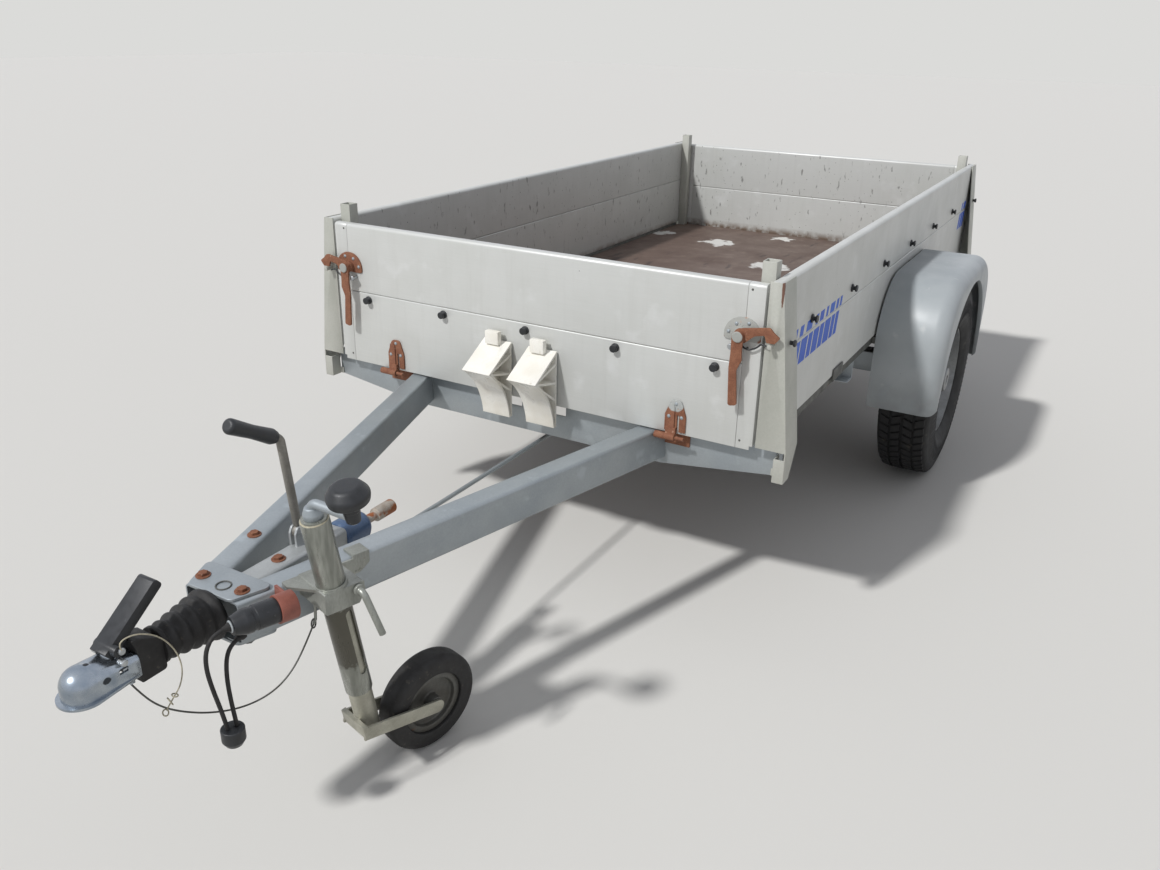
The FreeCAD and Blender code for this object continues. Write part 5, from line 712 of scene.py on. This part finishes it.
# Road wheels: tyre carcass with blocks of tread and ribbed side walls, and a pressed rim with vents
wheel = {"x": 705, "y": 1210, "radius": 298, "half": 82.5, "bead": 163, "treadDepth": 7,
         "treadRows": (-50, -17, 17, 50), "rowWidth": 27, "blocks": 64, "blockLength": 23, "blockLean": 5,
         "rowShift": 7, "shoulderDrop": 4, "aboveFloor": 0.5, "rooted": 2, "taper": 1.2, "ribs": 96,
         "vents": 8, "ventRadius": 13, "ventPlace": 99, "ventInset": 21, "ventDepth": 30,
         "bolts": 5, "boltPlace": 56, "boltFace": 15}
boxFaces = ((4, 5, 6, 7), (0, 1, 5, 4), (1, 2, 6, 5), (2, 3, 7, 6), (3, 0, 4, 7), (3, 2, 1, 0))


def tyreProfile():   # place along the axle and radius, from bead to bead
    half, radius, bead = wheel["half"], wheel["radius"] - wheel["treadDepth"], wheel["bead"]
    side = [(half - 22, bead), (half - 18, bead + 3), (half - 14, bead + 14), (half - 6, bead + 26),
            (half - 2, bead + 45), (half - 0.6, bead + 62), (half - 2, bead + 78), (half - 6, bead + 98),
            (half - 8.5, bead + 104), (half - 8, bead + 107), (half - 9, bead + 110), (half - 13, radius - 6),
            (half - 19, radius - 1.5), (half - 27, radius)]
    return [(-u, r) for u, r in side] + [(u, r) for u, r in reversed(side)]


def treadPiece():   # one slice of the tread: a slanted block in each row
    form = bmesh.new()
    radius, length, half = wheel["radius"] - wheel["aboveFloor"], wheel["blockLength"], wheel["rowWidth"] / 2
    low = radius - wheel["treadDepth"] - wheel["rooted"]
    for number, row in enumerate(wheel["treadRows"]):
        lean = wheel["blockLean"] if number % 2 else -wheel["blockLean"]
        shift = wheel["rowShift"] if number % 2 else 0
        drop = wheel["shoulderDrop"] if number in (0, 3) else 0
        corners = []
        for height, shrink in ((low, 0), (radius, wheel["taper"])):
            for u, v in ((-half, -length / 2), (half, -length / 2), (half, length / 2), (-half, length / 2)):
                skew = lean if u > 0 else -lean
                edgeDrop = drop if (u > 0) == (row > 0) else 0
                corners.append((row + u - math.copysign(shrink, u), v - math.copysign(shrink, v) + skew + shift,
                                height - (edgeDrop if height == radius else 0)))
        verts = [form.verts.new((u / 1000, v / 1000, h / 1000)) for u, v, h in corners]
        for face in boxFaces:
            form.faces.new([verts[i] for i in face])
    return meshFrom(form, "treadSlice")


def sidewallRib():   # a low ridge up both side walls
    form = bmesh.new()
    half, bead = wheel["half"], wheel["bead"]
    spine = [(half - 3.4, bead + 38), (half - 0.4, bead + 50), (half + 0.4, bead + 62), (half - 0.8, bead + 76),
             (half - 3.6, bead + 88)]
    section = ((-2.2, -1.4), (0, 0.25), (2.2, -1.4))   # across the rib, and how far it stands up
    for side in (-1, 1):
        rows = [[form.verts.new((side * (u + lift) / 1000, v / 1000, r / 1000)) for v, lift in section]
                for u, r in spine]
        for low, high in zip(rows, rows[1:]):
            for i in (0, 1):
                face = (low[i], low[i + 1], high[i + 1], high[i])
                form.faces.new(face if side > 0 else (face[1], face[0], face[3], face[2]))
    bmesh.ops.recalc_face_normals(form, faces=form.faces)
    return meshFrom(form, "sidewallRib")


def joinMeshes(name, pieces):   # several finished objects become one mesh
    form = bmesh.new()
    for piece in pieces:
        form.from_mesh(piece.data)
        bpy.data.objects.remove(piece)
    return meshFrom(form, name)


def addTyre(side):
    name = "Right" if side > 0 else "Left"
    hub = mm(side * wheel["x"], wheel["y"], wheel["radius"])
    form = bmesh.new()
    ring = [form.verts.new((u / 1000, 0, r / 1000)) for u, r in tyreProfile()]
    edges = [form.edges.new(pair) for pair in zip(ring, ring[1:] + ring[:1])]
    bmesh.ops.spin(form, geom=ring + edges, axis=(1, 0, 0), cent=(0, 0, 0), dvec=(0, 0, 0), angle=math.tau, steps=96,
                   use_merge=True)
    bmesh.ops.remove_doubles(form, verts=form.verts, dist=1e-6)
    bmesh.ops.recalc_face_normals(form, faces=form.faces)
    form.transform(Matrix.Translation(hub))
    carcass = newPiece("carcass", meshFrom(form, "carcass"), slotMaterials["tyre"])
    given = {"Hub": hub, "Finish": slotMaterials["tyre"]}
    tread = grow("tread", treadPiece(), aroundAxle, {"Count": wheel["blocks"], "Start": 0.0, **given})
    ribs = grow("ribs", sidewallRib(), aroundAxle, {"Count": wheel["ribs"], "Start": 0.03, **given})
    piece = newPiece("roadTyre" + name, joinMeshes("roadTyre" + name, [carcass, tread, ribs]), slotMaterials["tyre"])
    smoothByAngle(piece.data, 40)
    rideOn(piece, "road_wheel_" + name.lower(), "tyre", "tyre_" + name.lower())


def addRim(side):
    name = "Right" if side > 0 else "Left"
    hub = mm(side * wheel["x"], wheel["y"], wheel["radius"])
    rim = softenedCopy("rim_" + name.lower(), "pressedRim" + name, 0.8)
    form = bmesh.new()
    radius, place = wheel["ventRadius"] / 1000, wheel["ventPlace"] / 1000
    for number in range(wheel["vents"]):
        angle = math.tau * number / wheel["vents"]
        spot = Vector((side * wheel["ventInset"] / 1000, math.cos(angle) * place, math.sin(angle) * place))
        turn = Matrix.Rotation(math.radians(90), 4, "Y")
        bmesh.ops.create_cone(form, cap_ends=True, segments=20, radius1=radius, radius2=radius,
                              depth=wheel["ventDepth"] / 1000, matrix=Matrix.Translation(hub + spot) @ turn)
    cutter = newPiece("ventCutter", meshFrom(form, "ventCutter"), slotMaterials["rim_silver"])
    vents = rim.modifiers.new("vents", "BOOLEAN")
    vents.object = cutter
    vents.operation = "DIFFERENCE"
    applyModifiers(rim)
    smoothByAngle(rim.data, 30)
    bpy.data.objects.remove(cutter)
    points = []
    for number in range(wheel["bolts"]):
        angle = math.tau * (number + 0.25) / wheel["bolts"]
        y, z = wheel["y"] + math.cos(angle) * wheel["boltPlace"], wheel["radius"] + math.sin(angle) * wheel["boltPlace"]
        points.append(((side * (wheel["x"] + wheel["boltFace"]), y, z), (side, 0, 0)))
    setFasteners("wheelBolts" + name, "road_wheel_" + name.lower(), "dark_steel", hexHead, 9, points, 11)


for side in (-1, 1):
    addTyre(side)
    addRim(side)
print("road wheels")


# Blue blocks on the side walls: generic slanted bars of thin film in two rows about the seam
stripes = {"colour": "#0f50c2", "faded": "#1f62cc", "chip": "#b9bbba", "rough": 0.42, "bump": 0.05, "thick": 0.35,
           "slant": 0.22, "seam": 679,
           "rows": [(-60, -6, [(96, 34), (138, 26), (172, 44), (224, 28), (260, 40), (308, 30), (346, 44), (398, 26),
                               (432, 24)]),
                    (4, 27, [(112, 20), (150, 24), (196, 40), (262, 18), (292, 30), (340, 16), (372, 34), (420, 18),
                             (450, 16)]),
                    (-62, -6, [(2010, 26), (2046, 30), (2086, 22)]), (4, 30, [(2024, 20), (2062, 34)])]}


# Cast vinyl film in blue, matt from the sun, with nicked edges
def filmMaterial():
    material = newMaterial("castBlueFilm")
    tree = material.node_tree
    plain = surfacePattern(tree)
    faded = noiseMask(tree, plain, 60, 0.4, 0.7, 4.0)
    chips = noiseMask(tree, plain, 7, 0.68, 0.72, 6.0, 3.0)
    colour = paintOver(tree, stripes["colour"], stripes["faded"], faded)
    colour = paintOver(tree, colour, stripes["chip"], chips, 0.8)
    return finishSurface(material, colour, None, chips, stripes)


def addStripes(side):
    form = bmesh.new()
    inner, outer = wallOuter * 1000 + 0.05, wallOuter * 1000 + stripes["thick"]
    for low, high, bars in stripes["rows"]:
        for start, width in bars:
            corners = []
            for x in (inner, outer):
                for y, z in ((start, low), (start + width, low), (start + width, high), (start, high)):
                    corners.append(form.verts.new(mm(side * x, y + z * stripes["slant"], stripes["seam"] + z)))
            for face in boxFaces:
                form.faces.new([corners[i] for i in face])
    bmesh.ops.recalc_face_normals(form, faces=form.faces)
    name = "blueBars" + ("Right" if side > 0 else "Left")
    rideOn(newPiece(name, meshFrom(form, name), blueFilm), "chassis", "wall_alu")


blueFilm = filmMaterial()
for side in (-1, 1):
    addStripes(side)
print("blue bars")


# Small turned parts, each as an outline of radius and height in mm, the place of its foot and the way it faces
def placedLathe(form, outline, steps, middle, facing):
    part = bmesh.new()
    lathe(part, outline, steps)
    turn = Vector(facing).to_track_quat("Z", "Y").to_matrix().to_4x4()
    part.transform(Matrix.Translation(mm(*middle)) @ turn @ Matrix.Scale(0.001, 4))
    form.from_mesh(meshFrom(part, "turnedPart"))


def ringOutline(major, minor):
    return [(major + minor * math.cos(a), minor * math.sin(a)) for a in (math.tau * i / 10 for i in range(11))]


def addTurned(name, body, finish, slot, parts, steps=24):
    form = bmesh.new()
    for outline, middle, facing in parts:
        placedLathe(form, outline, steps, middle, facing)
    piece = newPiece(name, meshFrom(form, name), slotMaterials[finish])
    smoothByAngle(piece.data, 32)
    rideOn(piece, body, slot)


latch = {"x": 526, "z": 718, "springWire": 3.8, "studPlace": (-16, -26),
         "spring": [(-3, -10, -6), (4, -10, -22), (20, -9, -30), (38, -8, -22), (48, -8, -10), (60, -9, -16)]}


def latchSpring(name, body, places):   # black return springs between claw and lever
    form = bmesh.new()
    for points in places:
        wire = bentLine("springWire", points, latch["springWire"], 6, 3, slotMaterials["black_plastic"])
        form.from_mesh(bpy.data.meshes.new_from_object(wire.evaluated_get(bpy.context.evaluated_depsgraph_get())))
        bpy.data.objects.remove(wire)
    bmesh.ops.remove_doubles(form, verts=form.verts, dist=1e-6)
    piece = newPiece(name, meshFrom(form, name), slotMaterials["black_plastic"])
    smoothByAngle(piece.data, 40)
    rideOn(piece, body, "dark_steel")


springRight = [(latch["x"] + x, y, latch["z"] + z) for x, y, z in latch["spring"]]
springLeft = [(-x, y, z) for x, y, z in springRight]
toRear = [[(-x, boxLength * 1000 - y, z) for x, y, z in points] for points in (springRight, springLeft)]
latchSpring("frontLatchSprings", "front_board", [springRight, springLeft])
latchSpring("tailgateLatchSprings", "tailgate", toRear)

studOutline = [(0, 20), (4.5, 20), (6, 18.5), (6, 14), (3.6, 14), (3.6, 0)]
studPlaces = bothSides([((latch["x"] + latch["studPlace"][0], 0, latch["z"] + latch["studPlace"][1]), forward)])
for name, body, places in (("front", "front_board", studPlaces), ("tailgate", "tailgate", atRear(studPlaces))):
    addTurned(name + "LatchStuds", body, "bright_zinc", "galvanised", [(studOutline, *place) for place in places])

# Knobs on the corner posts, where a cover's cord hooks on
postKnob = [(0, 15), (6, 15), (8, 12.5), (7.4, 10.5), (4.5, 8), (4.5, -6)]
postPlaces = bothSides([((617, 33, 706), rightward), ((617, boxLength * 1000 - 33, 706), rightward)])
addTurned("postKnobs", "chassis", "black_plastic", "black_plastic", [(postKnob, *place) for place in postPlaces])

# Coupling: the handle's pin, the two bolts in its side, and the ring on the drawbar's plate
sideBolt = [(0, 6), (4.6, 5.4), (5.6, 4), (5.6, 0), (5.6, -6)]
boltPlaces = [((31, -1126.5, 423.6), rightward), ((28, -1125, 442), rightward), ((-31, -1126.5, 423.6), leftward)]
plateRings = [(ringOutline(12.5, 1.2), (8, -920, tubeTop(-920) + 7.4), (0.02, -0.035, 1)),
              (ringOutline(7.5, 1.3), (133, -852, 369), (0.9, 0.3, 0.1))]
addTurned("couplingBolts", "chassis", "bright_zinc", "galvanised", [(sideBolt, *place) for place in boltPlaces])
addTurned("plateRing", "chassis", "dark_steel", "dark_steel", plateRings, 32)

# Cable glands where the leads leave the parked plug
gland = [(0, 13), (3.9, 13), (5.2, 7), (7.5, 3), (7.5, -3)]
glands = []
for name in ("lead_front", "lead_rear"):
    first, second = (Vector(point) for point in cords[name]["points"][:2])
    glands.append((gland, tuple(first), tuple(second - first)))
addTurned("cableGlands", "chassis", "black_rubber", "black_rubber", glands)
addTurned("glandRing", "chassis", "guard_grey", "black_plastic", [(ringOutline(8.6, 1.7), *glands[0][1:])], 28)

# Jockey wheel's head: a copper washer under the crank's dome, a pale rim on the tube, a black sleeve under the knob
jockey = {"foot": (160, -825, 415), "lean": 10, "washer": 163, "rim": 160, "knob": 207, "crank": 88}
jockeyAxis = Vector((0, -math.sin(math.radians(jockey["lean"])), math.cos(math.radians(jockey["lean"]))))


def upTheTube(distance, across=0):
    return tuple(Vector(jockey["foot"]) + jockeyAxis * distance + Vector((across, 0, 0)))


knobNeck = [(8.3, -22), (11.5, -22), (13.2, -6), (14, 0.3), (8.3, 0.3), (8.3, -22)]
jockeyRings = (("crankWasher", "rusty_steel", "galvanised", ringOutline(17.2, 2.0), upTheTube(jockey["washer"]), 32),
               ("knobNeck", "black_plastic", "black_plastic", knobNeck, upTheTube(jockey["knob"], jockey["crank"]), 32),
               ("tubeRim", "string", "galvanised", ringOutline(21.5, 1.8), upTheTube(jockey["rim"]), 40))
for name, finish, slot, outline, middle, steps in jockeyRings:
    addTurned(name, "chassis", finish, slot, [(outline, middle, tuple(jockeyAxis))], steps)

# A thin string tied to the coupling, hanging in a loop beside the bellows, with knots at its end
tieWire = {"points": [(32, -1125, 443), (36, -1132, 458), (41, -1124, 468), (47, -1104, 467), (53, -1078, 450),
                      (57, -1058, 416), (58, -1051, 380), (57, -1058, 350), (56, -1076, 334), (54, -1088, 320)],
           "length": 227.0, "diameter": 2.2, "roundness": 3, "far": "knot", "stiffness": "stiff", "ends": "tieKnots",
           "knots": [((55, -1080, 332), (0.3, 0.9, 0.4), 6.5), ((54, -1090, 317), (0.9, 0.1, 0.5), 5.0),
                     ((56, -1071, 338), (0.2, 0.3, 1), 4.5)]}
knotParts = [(ringOutline(radius, 1.1), middle, facing) for middle, facing, radius in tieWire["knots"]]
addTurned("tieKnots", "chassis", "string", "white_plastic", knotParts, 20)
addCord("tieWire", tieWire, "white_plastic", slotMaterials["string"])
print("small fittings")
